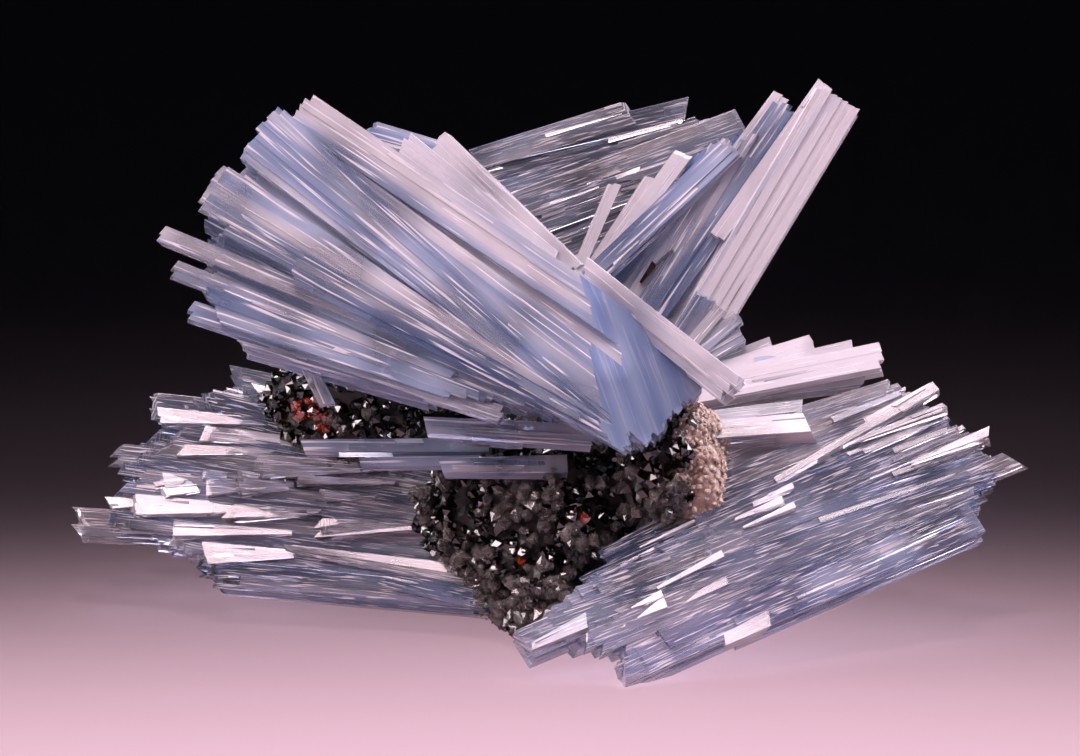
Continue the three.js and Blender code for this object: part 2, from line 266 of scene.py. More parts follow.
@dataclass(frozen=True)
class BariteFinish:
    """Barite, grown in water-filled cracks: glassy faces, striped lengthwise by growth steps and cleavage.

    Real cleavage streaks and growth grooves are too fine to show in the render, so they are drawn coarser.

    Attributes:
        name: Name of the material.
        deep: Colour of the body where band and tint together are lowest.
        pale: Colour of the body where it is cloudy.
        streak: Colour of the cleavage streaks.
        clearest: Transmission where the crystal is free of clouds.
        cloudiest: Transmission inside clouds and streaks.
        streaks: Share of the surface that streaks cover, from 0 to 1.
        roughness: Roughness of the smoothest and roughest faces.
        absorption: Colour that light takes on its way through.
        density: Absorption per metre.
        rust: Colour of the rusty inclusions.
        ior: Index of refraction.
        streak_size_mm: Length and width of the streaks.
        streak_softness: How softly streaks fade at their sides.
        band_size_mm: Length and width of the colour bands.
        cloud_size_mm: Size of the clouds.
        clouds: Values of the noise where clouds begin and where they are full.
        shades: Sums of band and tint where the body is deepest and where it is as pale as a streak.
        pale_at: Place of the pale colour between those two, from 0 to 1.
        groove_mm: Width of the growth grooves, which run lengthwise.
        groove_depth_mm: Depth of the grooves.
        groove_strength: How strongly the grooves show, from 0 to 1.
    """

    name: str
    deep: str
    pale: str
    streak: str
    clearest: float
    cloudiest: float
    streaks: float
    roughness: Range
    absorption: str
    density: float
    rust: str = "#3B2518"
    ior: float = 1.64
    streak_size_mm: tuple[float, float] = (9.0, 0.35)
    streak_softness: float = 0.16
    band_size_mm: tuple[float, float] = (22.0, 2.4)
    cloud_size_mm: float = 7.0
    clouds: Range = (0.36, 0.66)
    shades: Range = (0.45, 1.35)
    pale_at: float = 0.6
    groove_mm: float = 0.22
    groove_depth_mm: float = 0.01
    groove_strength: float = 0.6

    def material(self) -> bpy.types.Material:
        """Returns the node material, whose patterns follow the blades' own length and width."""
        material, tree, out = new_material(self.name)
        uv = add_node(tree, "UVMap", uv_map=BLADE_UV).outputs["UV"]
        tint, milk, streaky, rust = (
            add_node(tree, "Attribute", attribute_name=name).outputs["Fac"] for name in BLADE_VALUES)

        def along_blade(size_mm: tuple[float, float], detail: float) -> bpy.types.NodeSocket:
            """Returns a noise that is stretched along the blade, of the given length and width."""
            scale = (1 / size_mm[0], 1 / size_mm[1], 1.0)
            place = add_node(tree, "Mapping", {"Vector": uv, "Scale": scale}).outputs["Vector"]
            pattern = add_node(
                tree, "TexNoise", {"Vector": place, "Scale": 1.0, "Detail": detail, "Roughness": 0.6},
                noise_dimensions="2D")
            return pattern.outputs["Fac"]

        streaks = along_blade(self.streak_size_mm, detail=1.0)
        bands = along_blade(self.band_size_mm, detail=0.0)
        inside = add_node(tree, "TexCoord").outputs["Object"]
        clouds = add_node(
            tree, "TexNoise",
            {"Vector": inside, "Scale": 1 / (self.cloud_size_mm * MM), "Detail": 0.0},
        ).outputs["Fac"]

        # Streaks are thin and bright, and thin out where the noise is low.
        edge = NOISE_MIDDLE + NOISE_SPREAD * (1 - 2 * self.streaks)
        streak = add_node(
            tree, "MapRange",
            {"Value": streaks, "From Min": edge, "From Max": edge + self.streak_softness, "To Max": streaky},
            interpolation_type="SMOOTHSTEP").outputs["Result"]

        # Milk up to 1 thickens the clouds, and what is past 1 makes the crystal cloudy throughout.
        cloudy = maths(tree, "MULTIPLY", remapped(tree, clouds, before=self.clouds), milk)
        cloudy = maths(tree, "MAXIMUM", cloudy, maths(tree, "SUBTRACT", milk, 1.0))

        shade = remapped(tree, maths(tree, "ADD", bands, tint), before=self.shades)
        body = add_node(
            tree, "ValToRGB", {"Fac": shade},
            ramp=((0.0, self.deep), (self.pale_at, self.pale), (1.0, self.streak)),
        ).outputs["Color"]
        colour = mixed(tree, streak, body, linear(self.streak))
        colour = mixed(tree, rust, colour, linear(self.rust))

        opaque = maths(tree, "MAXIMUM", streak, cloudy)
        rough = maths(tree, "MULTIPLY", streak, tint)
        inputs = {
            "Base Color": colour,
            "Roughness": remapped(tree, rough, after=self.roughness),
            "IOR": self.ior,
            "Transmission Weight": remapped(tree, opaque, after=(self.clearest, self.cloudiest)),
        }
        if self.groove_depth_mm:
            across = add_node(tree, "SeparateXYZ", {"Vector": uv}).outputs["Y"]
            grooves = add_node(
                tree, "TexNoise", {"W": across, "Scale": 1 / self.groove_mm, "Detail": 0.0},
                noise_dimensions="1D").outputs["Fac"]
            relief = {
                "Height": grooves,
                "Strength": self.groove_strength,
                "Distance": self.groove_depth_mm * MM,
            }
            inputs["Normal"] = add_node(tree, "Bump", relief).outputs["Normal"]
        surface = add_node(tree, "BsdfPrincipled", inputs, distribution="GGX").outputs["BSDF"]
        volume = add_node(
            tree, "VolumeAbsorption", {"Color": linear(self.absorption), "Density": self.density},
        ).outputs["Volume"]
        tree.links.new(surface, out.inputs["Surface"])
        tree.links.new(volume, out.inputs["Volume"])
        return material


@dataclass(frozen=True)
class GrainFinish:
    """The finish of rock or of mineral grains, speckled at the size of its own crystals.

    Attributes:
        name: Name of the material.
        dark: Colour of the darker speckles.
        light: Colour of the lighter speckles.
        speckle_mm: Size of the speckles.
        roughness: Roughness of the smoothest and roughest spots.
        ior: Index of refraction.
        transmission: Share of light that passes through.
        pit_mm: Depth of the fine pits.
        pit_strength: How strongly the pits show, from 0 to 1.
        speckles: Values of the noise where speckles are darkest and where they are lightest.
    """

    name: str
    dark: str
    light: str
    speckle_mm: float
    roughness: Range
    ior: float = 1.5
    transmission: float = 0.0
    pit_mm: float = 0.05
    pit_strength: float = 0.7
    speckles: Range = (0.34, 0.68)

    def material(self) -> bpy.types.Material:
        """Returns the node material."""
        material, tree, out = new_material(self.name)
        inside = add_node(tree, "TexCoord").outputs["Object"]
        speckle = add_node(
            tree, "TexNoise",
            {"Vector": inside, "Scale": 1 / (self.speckle_mm * MM), "Detail": 2.0, "Roughness": 0.65},
        ).outputs["Fac"]
        spread = remapped(tree, speckle, before=self.speckles)
        relief = {"Height": speckle, "Strength": self.pit_strength, "Distance": self.pit_mm * MM}
        surface = add_node(tree, "BsdfPrincipled", {
            "Base Color": mixed(tree, spread, linear(self.dark), linear(self.light)),
            "Roughness": remapped(tree, spread, after=self.roughness),
            "IOR": self.ior,
            "Transmission Weight": self.transmission,
            "Normal": add_node(tree, "Bump", relief).outputs["Normal"],
        }).outputs["BSDF"]
        tree.links.new(surface, out.inputs["Surface"])
        return material


# Milky barite: countless tiny fluid bubbles scatter the light, so it glows pale blue.
MILKY_BARITE = BariteFinish(
    name="milky_barite", deep="#7A8FBE", pale="#B6C3DF", streak="#EDE8F0", clearest=0.72, cloudiest=0.3,
    streaks=0.35, roughness=(0.12, 0.35), absorption="#9DB6E4", density=70.0)

# Clear barite: water-clear between the cleavage streaks, greyish blue where it is thick.
CLEAR_BARITE = BariteFinish(
    name="clear_barite", deep="#93A3CB", pale="#C6CEE4", streak="#F6EEF4", clearest=0.9, cloudiest=0.4,
    streaks=0.24, roughness=(0.05, 0.25), absorption="#A8BCDD", density=45.0, streak_size_mm=(4.0, 0.12),
    streak_softness=0.06, groove_depth_mm=0.0)

# Sphalerite: resinous dark brown crystals with bright glints.
SPHALERITE = GrainFinish(
    name="sphalerite", dark="#020202", light="#140D09", speckle_mm=1.2, roughness=(0.03, 0.14), ior=1.9)

# Quartz druse: small grey, glassy points.
QUARTZ = GrainFinish(
    name="quartz_druse", dark="#B5A9A7", light="#F2EAE8", speckle_mm=2.2, roughness=(0.03, 0.12), ior=1.54,
    transmission=0.9, pit_mm=0.01)

# The groundmass that the grains sit in, nearly black.
GROUNDMASS = GrainFinish(
    name="dark_groundmass", dark="#040404", light="#1B1614", speckle_mm=0.7, roughness=(0.35, 0.75),
    pit_mm=0.15)

# Ruby sphalerite, the few clear red-orange crystals.
RUBY_SPHALERITE = GrainFinish(
    name="ruby_sphalerite", dark="#3A0803", light="#B2380C", speckle_mm=0.8, roughness=(0.06, 0.2), ior=2.37)

# Sugary dolomite crust, pinkish tan.
DOLOMITE = GrainFinish(
    name="dolomite_crust", dark="#9C7C6E", light="#E2CBBE", speckle_mm=0.6, roughness=(0.3, 0.55), ior=1.68)


class Section(Enum):
    """The section of a blade, as points in halves of its width and thickness."""

    PLATE = ((1, 0.92), (0.96, 1), (-0.96, 1), (-1, 0.92), (-1, -0.92), (-0.96, -1), (0.96, -1), (1, -0.92))
    PRISM = ((1, 0), (0.72, 1), (-0.72, 1), (-1, 0), (-0.72, -1), (0.72, -1))
    WEDGE = ((1, -0.2), (0.5, 1), (-0.8, 0.75), (-1, -0.1), (-0.6, -1), (0.7, -0.8))


@dataclass
class Blade:
    """One flat-faced crystal, in the layout's millimetres.

    Attributes:
        root: Where it starts.
        tip: Where it ends.
        facing: Direction that its broad faces are square to.
        width: Across its broad faces.
        thickness: Between its broad faces.
        section: Shape of its section.
        root_scale: Size of its section at the root.
        tip_scale: Size of its section at the tip.
        root_slant: Slope of the root's end face across the width.
        tip_slant: Slope of the tip's end face across the width.
        tip_bevel: Slope of the tip's end face across the thickness.
        tint: From 0, deep, to 1, pale, and whiter past 1.
        milk: From 0, clear, to 1, full of clouds, and cloudy throughout past 1.
        streaky: How strong the streaks on its faces are, from 0 to 1.
        rust: How rusty it is, from 0 to 1.
        pattern: Where its stretch of the surface pattern starts.
    """

    root: Vector
    tip: Vector
    facing: Vector
    width: float
    thickness: float
    section: Section = Section.PLATE
    root_scale: float = 1.0
    tip_scale: float = 1.0
    root_slant: float = 0.0
    tip_slant: float = 0.0
    tip_bevel: float = 0.0
    tint: float = 0.5
    milk: float = 0.5
    streaky: float = 1.0
    rust: float = 0.0
    pattern: Point = (0.0, 0.0)

    def mesh(self, name: str, grow: float = 0.0) -> bpy.types.Mesh:
        """Makes the blade's closed mesh, with its own length and width as texture coordinates.

        Args:
            name: Name of the mesh.
            grow: How far its skin is moved out.

        Returns:
            The mesh, in the layout's millimetres.
        """
        along = self.tip - self.root
        length = along.length
        along.normalize()
        across = self.facing.cross(along).normalized()
        out = along.cross(across)
        half_width = self.width / 2 + grow
        half_thickness = self.thickness / 2 + grow
        section = self.section.value
        sides = len(section)
        stations = [
            (-grow, self.root_scale, self.root_slant, 0.0),
            (length + grow, self.tip_scale, self.tip_slant, self.tip_bevel),
        ]
        # Each point with its place along the blade and around it.
        points: list[Vector] = []
        places: list[tuple[float, float]] = []
        for reach, scale, slant, bevel in stations:
            for side, face in section:
                sideways = side * scale * half_width
                outward = face * scale * half_thickness
                far = reach + slant * sideways + bevel * outward
                points.append(self.root + along * far + across * sideways + out * outward)
                places.append((far, sideways + outward))
        ends = [tuple(reversed(range(sides))), tuple(range(sides, 2 * sides))]
        walls = [(i, (i + 1) % sides, (i + 1) % sides + sides, i + sides) for i in range(sides)]

        mesh = bpy.data.meshes.new(name)
        mesh.from_pydata(points, [], ends + walls)
        layer = mesh.uv_layers.new(name=BLADE_UV)
        for corner, loop in enumerate(mesh.loops):
            layer.data[corner].uv = Vector(places[loop.vertex_index]) + Vector(self.pattern)
        for key in BLADE_VALUES:
            attribute = mesh.attributes.new(key, "FLOAT", "FACE")
            attribute.data.foreach_set("value", [getattr(self, key)] * len(mesh.polygons))
        return mesh


def evaluated(holder: bpy.types.Object, name: str) -> bpy.types.Mesh:
    """Makes the mesh of an object with its modifiers applied, and removes the object.

    Args:
        holder: The object.
        name: Name of the new mesh.

    Returns:
        The new mesh.
    """
    depsgraph = bpy.context.evaluated_depsgraph_get()
    mesh = bpy.data.meshes.new_from_object(
        holder.evaluated_get(depsgraph), preserve_all_data_layers=True, depsgraph=depsgraph)
    mesh.name = name
    bpy.data.objects.remove(holder)
    return mesh


def joined(meshes: Sequence[bpy.types.Mesh], name: str) -> bpy.types.Mesh:
    """Joins closed meshes that overlap in one closed mesh.

    Args:
        meshes: The meshes, of which the first one lends its attributes.
        name: Name of the new mesh.

    Returns:
        The joined mesh.
    """
    holder = bpy.data.objects.new(name, meshes[0])
    bpy.context.scene.collection.objects.link(holder)
    others = bpy.data.collections.new(name)
    for mesh in meshes[1:]:
        others.objects.link(bpy.data.objects.new(name, mesh))
    union = holder.modifiers.new("join", "BOOLEAN")
    union.operation = "UNION"
    union.operand_type = "COLLECTION"
    union.collection = others
    union.solver = "MANIFOLD"
    mesh = evaluated(holder, name)
    for other in list(others.objects):
        bpy.data.objects.remove(other)
    bpy.data.collections.remove(others)
    return mesh


def sliced(mesh: bpy.types.Mesh, along: Vector, every: float) -> bpy.types.Mesh:
    """Divides a mesh's long faces by parallel planes, which keeps its shape and speeds up rendering.

    Args:
        mesh: The mesh, which is changed.
        along: Direction that the planes are square to.
        every: Distance between the planes.

    Returns:
        The same mesh.
    """
    shape = bmesh.new()
    shape.from_mesh(mesh)
    places = [vertex.co.dot(along) for vertex in shape.verts]
    place = min(places) + every
    while place < max(places):
        bmesh.ops.bisect_plane(
            shape, geom=[*shape.verts, *shape.edges, *shape.faces], plane_co=along * place, plane_no=along)
        place += every
    shape.to_mesh(mesh)
    shape.free()
    return mesh


def cut(mesh: bpy.types.Mesh, cutter: bpy.types.Mesh, name: str) -> bpy.types.Mesh:
    """Cuts a closed mesh out of another.

    Args:
        mesh: What is cut.
        cutter: What is taken away.
        name: Name of the new mesh.

    Returns:
        What is left.
    """
    holder = bpy.data.objects.new(name, mesh)
    bpy.context.scene.collection.objects.link(holder)
    taken = bpy.data.objects.new(name, cutter)
    difference = holder.modifiers.new("cut", "BOOLEAN")
    difference.operation = "DIFFERENCE"
    difference.object = taken
    difference.solver = "MANIFOLD"
    left = evaluated(holder, name)
    bpy.data.objects.remove(taken)
    return left


def level_cutter() -> bpy.types.Mesh:
    """Makes the block under the specimen, which cuts what rests level on it."""
    side = 0.2
    box = bmesh.new()
    bmesh.ops.create_cube(box, size=side)
    bmesh.ops.translate(box, verts=box.verts, vec=(0, 0, -side / 2))
    cutter = bpy.data.meshes.new("level")
    box.to_mesh(cutter)
    box.free()
    return cutter


def placed(
    mesh: bpy.types.Mesh, material: bpy.types.Material, name: str, slot: str, node: str,
) -> bpy.types.Object:
    """Moves a crystal from the layout to the frame, cuts it level with its base, dresses it and adds it.

    Args:
        mesh: The crystal, in the layout's millimetres.
        material: Its material.
        name: Name of the piece.
        slot: The record's material slot.
        node: The solid that it stands for.

    Returns:
        The piece.
    """
    mesh.transform(LAYOUT.matrix())
    if min(vertex.co.z for vertex in mesh.vertices) < 0:
        mesh = cut(mesh, level_cutter(), name)
    mesh.shade_flat()
    mesh.materials.clear()
    mesh.materials.append(material)
    piece = bpy.data.objects.new(name, mesh)
    link_piece(piece, slot, node)
    return piece


class Stand(NamedTuple):
    """A single crystal that stands out of a fan.

    Attributes:
        root: Where it starts, as (u, v).
        tip: Where it ends.
        width: Across its broad faces, at the tip.
        thickness: Between its broad faces.
        out: How far it lies out of the fan's plane.
        root_scale: Its width at the root, as a share of that at the tip.
        turn_deg: How far it is turned about its length.
        tint: How pale it is.
        milk: How cloudy it is, or None for about as cloudy as its fan.
        rust: How rusty it is.
    """

    root: Point
    tip: Point
    width: float
    thickness: float
    out: float
    root_scale: float = 0.9
    turn_deg: float = 0.0
    tint: float = 0.6
    milk: float | None = None
    rust: float = 0.0


@dataclass(frozen=True)
class FanPlane:
    """The plane of a fan in the layout.

    Attributes:
        at: A point of the plane.
        slope: How w changes along u and v.
    """

    at: tuple[float, float, float]
    slope: Point

    def normal(self) -> Vector:
        """Returns the unit normal."""
        return Vector((-self.slope[0], -self.slope[1], 1)).normalized()

    def lift(self, point: Point, out: float) -> Vector:
        """Returns the plane's point at (u, v), moved out along the normal."""
        rise = self.slope[0] * (point[0] - self.at[0]) + self.slope[1] * (point[1] - self.at[1])
        return Vector((point[0], point[1], self.at[2] + rise)) + self.normal() * out


class Facet(NamedTuple):
    """A smooth face that ends a fan's blades.

    Attributes:
        corners: Three of its corners, as (u, v, out).
        tint: How pale it is.
        milk: How cloudy it is.
        streaky: How strong the streaks on it are.
    """

    corners: tuple[tuple[float, float, float], ...]
    tint: float
    milk: float
    streaky: float = 0.2

    def cutter(self, plane: FanPlane) -> Blade:
        """Returns the block that cuts the face, in front of it and wider than any fan."""
        half_length, width, depth = 40.0, 60.0, 20.0
        a, b, c = (plane.lift((u, v), out) for u, v, out in self.corners)
        along = (b - a).normalized()
        facing = (b - a).cross(c - a).normalized()
        if facing.z < 0:
            facing.negate()
        middle = (a + b) / 2 + facing * (depth / 2)
        return Blade(
            middle - along * half_length, middle + along * half_length, facing, width, depth,
            tint=self.tint, milk=self.milk, streaky=self.streaky)


def point_on(line: Line, share: float) -> Point:
    """Returns the point a share of the way along a line of evenly spaced points."""
    place = min(max(share, 0.0), 1.0) * (len(line) - 1)
    index = min(int(place), len(line) - 2)
    (u0, v0), (u1, v1) = line[index], line[index + 1]
    part = place - index
    return u0 + (u1 - u0) * part, v0 + (v1 - v0) * part


def turned(direction: Vector, axis: Vector, degrees: float) -> Vector:
    """Returns a direction, turned about an axis."""
    return Quaternion(axis.normalized(), math.radians(degrees)) @ direction


def pattern_start(chance: random.Random) -> Point:
    """Returns a place where a blade's stretch of the surface pattern starts, by chance."""
    return chance.uniform(*PATTERN_MM), chance.uniform(*PATTERN_MM)


def between(a: Point, b: Point, share: float) -> Point:
    """Returns the point a share of the way from one point to another."""
    return a[0] + (b[0] - a[0]) * share, a[1] + (b[1] - a[1]) * share


class Ribbon(NamedTuple):
    """A broad, flat blade of a fan.

    Attributes:
        edges: Its two edges, each from a root to a tip.
        out: How far it lies out of the fan's plane.
        thickness: Between its broad faces.
        turn_deg: How far it is turned about its length.
        tint: How pale it is.
        milk: How cloudy it is.
        jag: How far its tips fall short.
        rust: How rusty it is.
    """

    edges: tuple[tuple[Point, Point], tuple[Point, Point]]
    out: float
    thickness: float
    turn_deg: float
    tint: float
    milk: float
    jag: float
    rust: float = 0.0


@dataclass(frozen=True)
class WhiskerHabit:
    """The ranges that the needles on a ribbon's faces are drawn from, in millimetres where not shares.

    Attributes:
        across: Place across the ribbon, as a share of its width.
        across_tip: The same at their tips, at the least and at the most.
        drift: How far they drift across the ribbon, as a share of its width.
        begin: Where they start, as a share of the ribbon's length.
        latest_end: Where they end at the latest, as a share of the ribbon's length.
        length: Their length.
        sides: The face that they lie on, 1 for the front, which more of them lie on, and -1 for the back.
        thickness: Between their broad faces.
        proud: How far they stand out of the ribbon's face.
        twist_deg: How far they are turned about their length.
        widths: Across their broad faces.
        sections: Shapes of their section.
        end_scale: Size of their section at the ends.
        end_slant: Slope of their end faces.
        tint: How pale they are.
        milk: How much cloudier than the ribbon they are.
    """

    across: Range = (0.06, 0.94)
    across_tip: Range = (0.03, 0.97)
    drift: float = 0.05
    begin: Range = (0.0, 0.85)
    latest_end: float = 0.97
    length: Range = (1.5, 9.0)
    sides: tuple[int, ...] = (1, 1, 1, -1)
    thickness: Range = (0.4, 0.8)
    proud: Range = (0.03, 0.16)
    twist_deg: float = 12.0
    widths: tuple[float, ...] = (0.12, 0.18, 0.26, 0.5)
    sections: tuple[Section, ...] = (Section.PLATE, Section.PRISM)
    end_scale: Range = (0.5, 1.0)
    end_slant: Range = (-1.0, 1.0)
    tint: Range = (0.6, 1.2)
    milk: Range = (0.2, 0.8)


@dataclass(frozen=True)
class SplinterHabit:
    """The ranges that the needles at a fan's tips are drawn from.

    Attributes:
        out: How far they lie out of the fan's plane, as a share of its thickness.
        drift: How far they drift along the line of tips, as a share of it.
        begin: Where they start, as a share of the way to the tips.
        short: How far they fall short of the line of tips, as a share of the fan's jag.
        width: Across their broad faces, in millimetres.
        flatness: Their thickness, as a share of the width.
        twist_deg: How far they are turned about their length.
        tip_scale: Size of their section at the tip.
        tip_slope: Slopes of their end faces.
    """

    out: Range = (-0.35, 0.35)
    drift: Range = (-0.03, 0.03)
    begin: Range = (0.5, 0.8)
    short: Range = (-0.2, 1.0)
    width: Range = (0.4, 1.1)
    flatness: Range = (0.7, 1.2)
    twist_deg: float = 15.0
    tip_scale: Range = (0.5, 1.0)
    tip_slope: Range = (-0.5, 0.5)


@dataclass
class Fan:
    """A fan or sheaf of blades, grown together.

    Attributes:
        node: The solid that it stands for.
        slot: The record's material slot.
        finish: Its material.
        seed: Starts its random numbers.
        plane: The plane that it lies on.
        roots: The line that its ribbons start on.
        tips: The line that they end on.
        ribbons: How many ribbons fill it from edge to edge.
        lamella: Width of the thin crystals that a ribbon is made of.
        jag: How far ribbons fall short of the line of tips.
        ragged: How far neighbouring lamellae differ in length.
        step: How far neighbouring lamellae differ in height.
        terrace: How far neighbouring ribbons differ in height.
        thickness: From its front face to its back.
        turn_deg: How far ribbons are turned about their own length, by chance.
        twist_deg: How far lamellae are turned against their ribbon.
        whiskers: How many needles lie on a square centimetre of a ribbon.
        splinters: How many needles stand out at the tips.
        milks: How cloudy its first and its last ribbon are, from 0 to 1.
        tints: How pale its first and its last ribbon are.
        standing: The single crystals that stand out.
        facet: A smooth face that ends its blades.
        grown_on: The single crystals that grow on that face.
        lean_deg: How far all ribbons are turned up about their own length.
        end_slant: How far the lamellae's end faces slope at the most.
        slant_spread: How far the slopes of neighbouring end faces differ.
        tint_spread: How far neighbouring lamellae differ in paleness.
        variation: How far ribbons stray from the values between the first and the last one.
        ribbon_widths: Least and greatest width of its ribbons, measured against each other.
        ribbon_thickness: Least and greatest thickness of its ribbons, as shares of the fan's.
        lamella_overlap: Width of a lamella, as a share of the room that it has.
        thinnest: Least width of a blade's end, as a share of its full width.
        thinnest_split: Thickness from which a ribbon is split in two layers.
        front_share: Thickness of the front layer, as a share of the ribbon's.
        layers_share: Thickness of both layers, as a share of the ribbon's, so that they overlap.
        back_jag: How far the back layer falls short, as a share of the front layer's.
        slice_mm: Distance between the planes that divide its long faces.
        whisker_habit: Sizes and places of the needles on its ribbons.
        splinter_habit: Sizes and places of the needles at its tips.
    """

    node: str
    slot: str
    finish: BariteFinish
    seed: int
    plane: FanPlane
    roots: Line
    tips: Line
    ribbons: int
    lamella: float
    jag: float
    ragged: float
    step: float
    terrace: float
    thickness: float
    turn_deg: float
    twist_deg: float
    whiskers: float
    splinters: int
    milks: Range
    tints: Range
    standing: tuple[Stand, ...]
    facet: Facet | None = None
    grown_on: tuple[Stand, ...] = ()
    lean_deg: float = 0.0
    end_slant: float = 0.45
    slant_spread: float = 0.15
    tint_spread: float = 0.06
    variation: float = 0.14
    ribbon_widths: Range = (0.5, 1.6)
    ribbon_thickness: Range = (0.8, 0.95)
    lamella_overlap: float = 1.35
    thinnest: float = 0.35
    thinnest_split: float = 2.2
    front_share: Range = (0.4, 0.65)
    layers_share: float = 1.06
    back_jag: float = 0.6
    slice_mm: float = 2.2
    whisker_habit: WhiskerHabit = WhiskerHabit()
    splinter_habit: SplinterHabit = SplinterHabit()

    def lateral(self, ribbon: Ribbon, along: Vector) -> Vector:
        """Returns the direction across a ribbon, square to its length."""
        (root_a, tip_a), (root_b, tip_b) = ribbon.edges
        across = self.plane.lift(tip_b, 0) - self.plane.lift(tip_a, 0)
        across += self.plane.lift(root_b, 0) - self.plane.lift(root_a, 0)
        return (across - along * across.dot(along)).normalized()

    def layers(self, chance: random.Random, ribbon: Ribbon) -> list[Ribbon]:
        """Splits a ribbon that is thick enough in a front and a back layer that overlap.

        Args:
            chance: Source of random numbers.
            ribbon: The ribbon.

        Returns:
            The layers, or the ribbon itself.
        """
        if ribbon.thickness < self.thinnest_split:
            return [ribbon]
        front = ribbon.thickness * chance.uniform(*self.front_share)
        back = ribbon.thickness * self.layers_share - front
        half = ribbon.thickness / 2
        return [
            ribbon._replace(out=ribbon.out + half - front / 2, thickness=front),
            ribbon._replace(
                out=ribbon.out - half + back / 2, thickness=back, jag=ribbon.jag * self.back_jag),
        ]

    def lamellae(self, chance: random.Random, ribbon: Ribbon) -> list[Blade]:
        """Makes a ribbon's thin crystals, side by side, with ragged ends.

        Args:
            chance: Source of random numbers.
            ribbon: The ribbon.

        Returns:
            Its blades.
        """
        (root_a, tip_a), (root_b, tip_b) = ribbon.edges
        at_root, at_tip = math.dist(root_a, root_b), math.dist(tip_a, tip_b)
        wide = max(at_root, at_tip)
        count = max(1, round(wide / self.lamella))
        slope = math.tan(math.radians(ribbon.turn_deg))
        slant = chance.uniform(-self.end_slant, self.end_slant)
        bevel = chance.uniform(-self.end_slant, self.end_slant)
        pattern = Vector(pattern_start(chance))
        short = chance.uniform(0, ribbon.jag)
        blades = []
        for i in range(count):
            share = (i + 0.5) / count
            step = ribbon.out + chance.gauss(0, self.step)
            root = self.plane.lift(between(root_a, root_b, share), step + (share - 0.5) * at_root * slope)
            tip = self.plane.lift(between(tip_a, tip_b, share), step + (share - 0.5) * at_tip * slope)
            along = (tip - root).normalized()
            facing = self.plane.normal() - self.lateral(ribbon, along) * slope
            facing = turned(facing, along, chance.gauss(0, self.twist_deg))
            short = min(max(short + chance.uniform(-self.ragged, self.ragged), 0), ribbon.jag)
            blades.append(Blade(
                root + along * chance.uniform(0, self.ragged), tip - along * short, facing,
                wide / count * self.lamella_overlap, ribbon.thickness,
                root_scale=max(at_root / wide, self.thinnest), tip_scale=max(at_tip / wide, self.thinnest),
                root_slant=slant, tip_slant=slant + chance.uniform(-self.slant_spread, self.slant_spread),
                tip_bevel=bevel,
                tint=min(max(ribbon.tint + chance.gauss(0, self.tint_spread), 0), 1), milk=ribbon.milk,
                rust=ribbon.rust, pattern=(pattern.x, pattern.y + (share - 0.5) * wide)))
        return blades

    def whisker_blades(self, chance: random.Random, ribbon: Ribbon) -> list[Blade]:
        """Makes the needles that lie half sunk in a ribbon's faces.

        Args:
            chance: Source of random numbers.
            ribbon: The ribbon.

        Returns:
            Its needles.
        """
        (root_a, tip_a), (root_b, tip_b) = ribbon.edges
        at_root, at_tip = math.dist(root_a, root_b), math.dist(tip_a, tip_b)
        wide = max(at_root, at_tip)
        length = math.dist(between(root_a, root_b, 0.5), between(tip_a, tip_b, 0.5))
        slope = math.tan(math.radians(ribbon.turn_deg))
        habit = self.whisker_habit
        blades = []
        for _ in range(int(self.whiskers * wide * length / MM2_PER_CM2 + chance.random())):
            share = chance.uniform(*habit.across)
            begin = chance.uniform(*habit.begin)
            end = min(begin + chance.uniform(*habit.length) / length, habit.latest_end)
            width = at_root + (at_tip - at_root) * ((begin + end) / 2)
            scale = max(width / wide, self.thinnest)
            side = chance.choice(habit.sides)
            thick = chance.uniform(*habit.thickness)
            proud = chance.uniform(*habit.proud)
            rise = ribbon.out + (share - 0.5) * width * slope
            out = rise + side * (ribbon.thickness / 2 * scale + proud - thick / 2)
            drifted = share + chance.gauss(0, habit.drift)
            share_at_tip = min(max(drifted, habit.across_tip[0]), habit.across_tip[1])
            root = self.plane.lift(between(root_a, root_b, share), out)
            tip = self.plane.lift(between(tip_a, tip_b, share_at_tip), out)
            along = (tip - root).normalized()
            facing = self.plane.normal() - self.lateral(ribbon, along) * slope
            blades.append(Blade(
                root.lerp(tip, begin), root.lerp(tip, end),
                turned(facing, along, chance.gauss(0, habit.twist_deg)),
                chance.choice(habit.widths), thick, chance.choice(habit.sections),
                root_scale=chance.uniform(*habit.end_scale), tip_scale=chance.uniform(*habit.end_scale),
                root_slant=chance.uniform(*habit.end_slant), tip_slant=chance.uniform(*habit.end_slant),
                tint=chance.uniform(*habit.tint), milk=min(ribbon.milk + chance.uniform(*habit.milk), 1.0),
                pattern=pattern_start(chance)))
        return blades

    def filling_ribbons(self, chance: random.Random) -> list[Ribbon]:
        """Divides the fan from edge to edge in ribbons of uneven width."""
        shares = [0.0]
        for _ in range(self.ribbons):
            shares.append(shares[-1] + chance.uniform(*self.ribbon_widths))
        ribbons = []
        for low, high in zip(shares, shares[1:]):
            edges = tuple(
                (point_on(self.roots, share / shares[-1]), point_on(self.tips, share / shares[-1]))
                for share in (low, high))
            middle = (low + high) / 2 / shares[-1]
            ribbons.append(Ribbon(
                edges, chance.gauss(0, self.terrace),
                self.thickness * chance.uniform(*self.ribbon_thickness),
                chance.gauss(self.lean_deg, self.turn_deg), self.varied(chance, self.tints, middle),
                self.varied(chance, self.milks, middle), self.jag))
        return ribbons

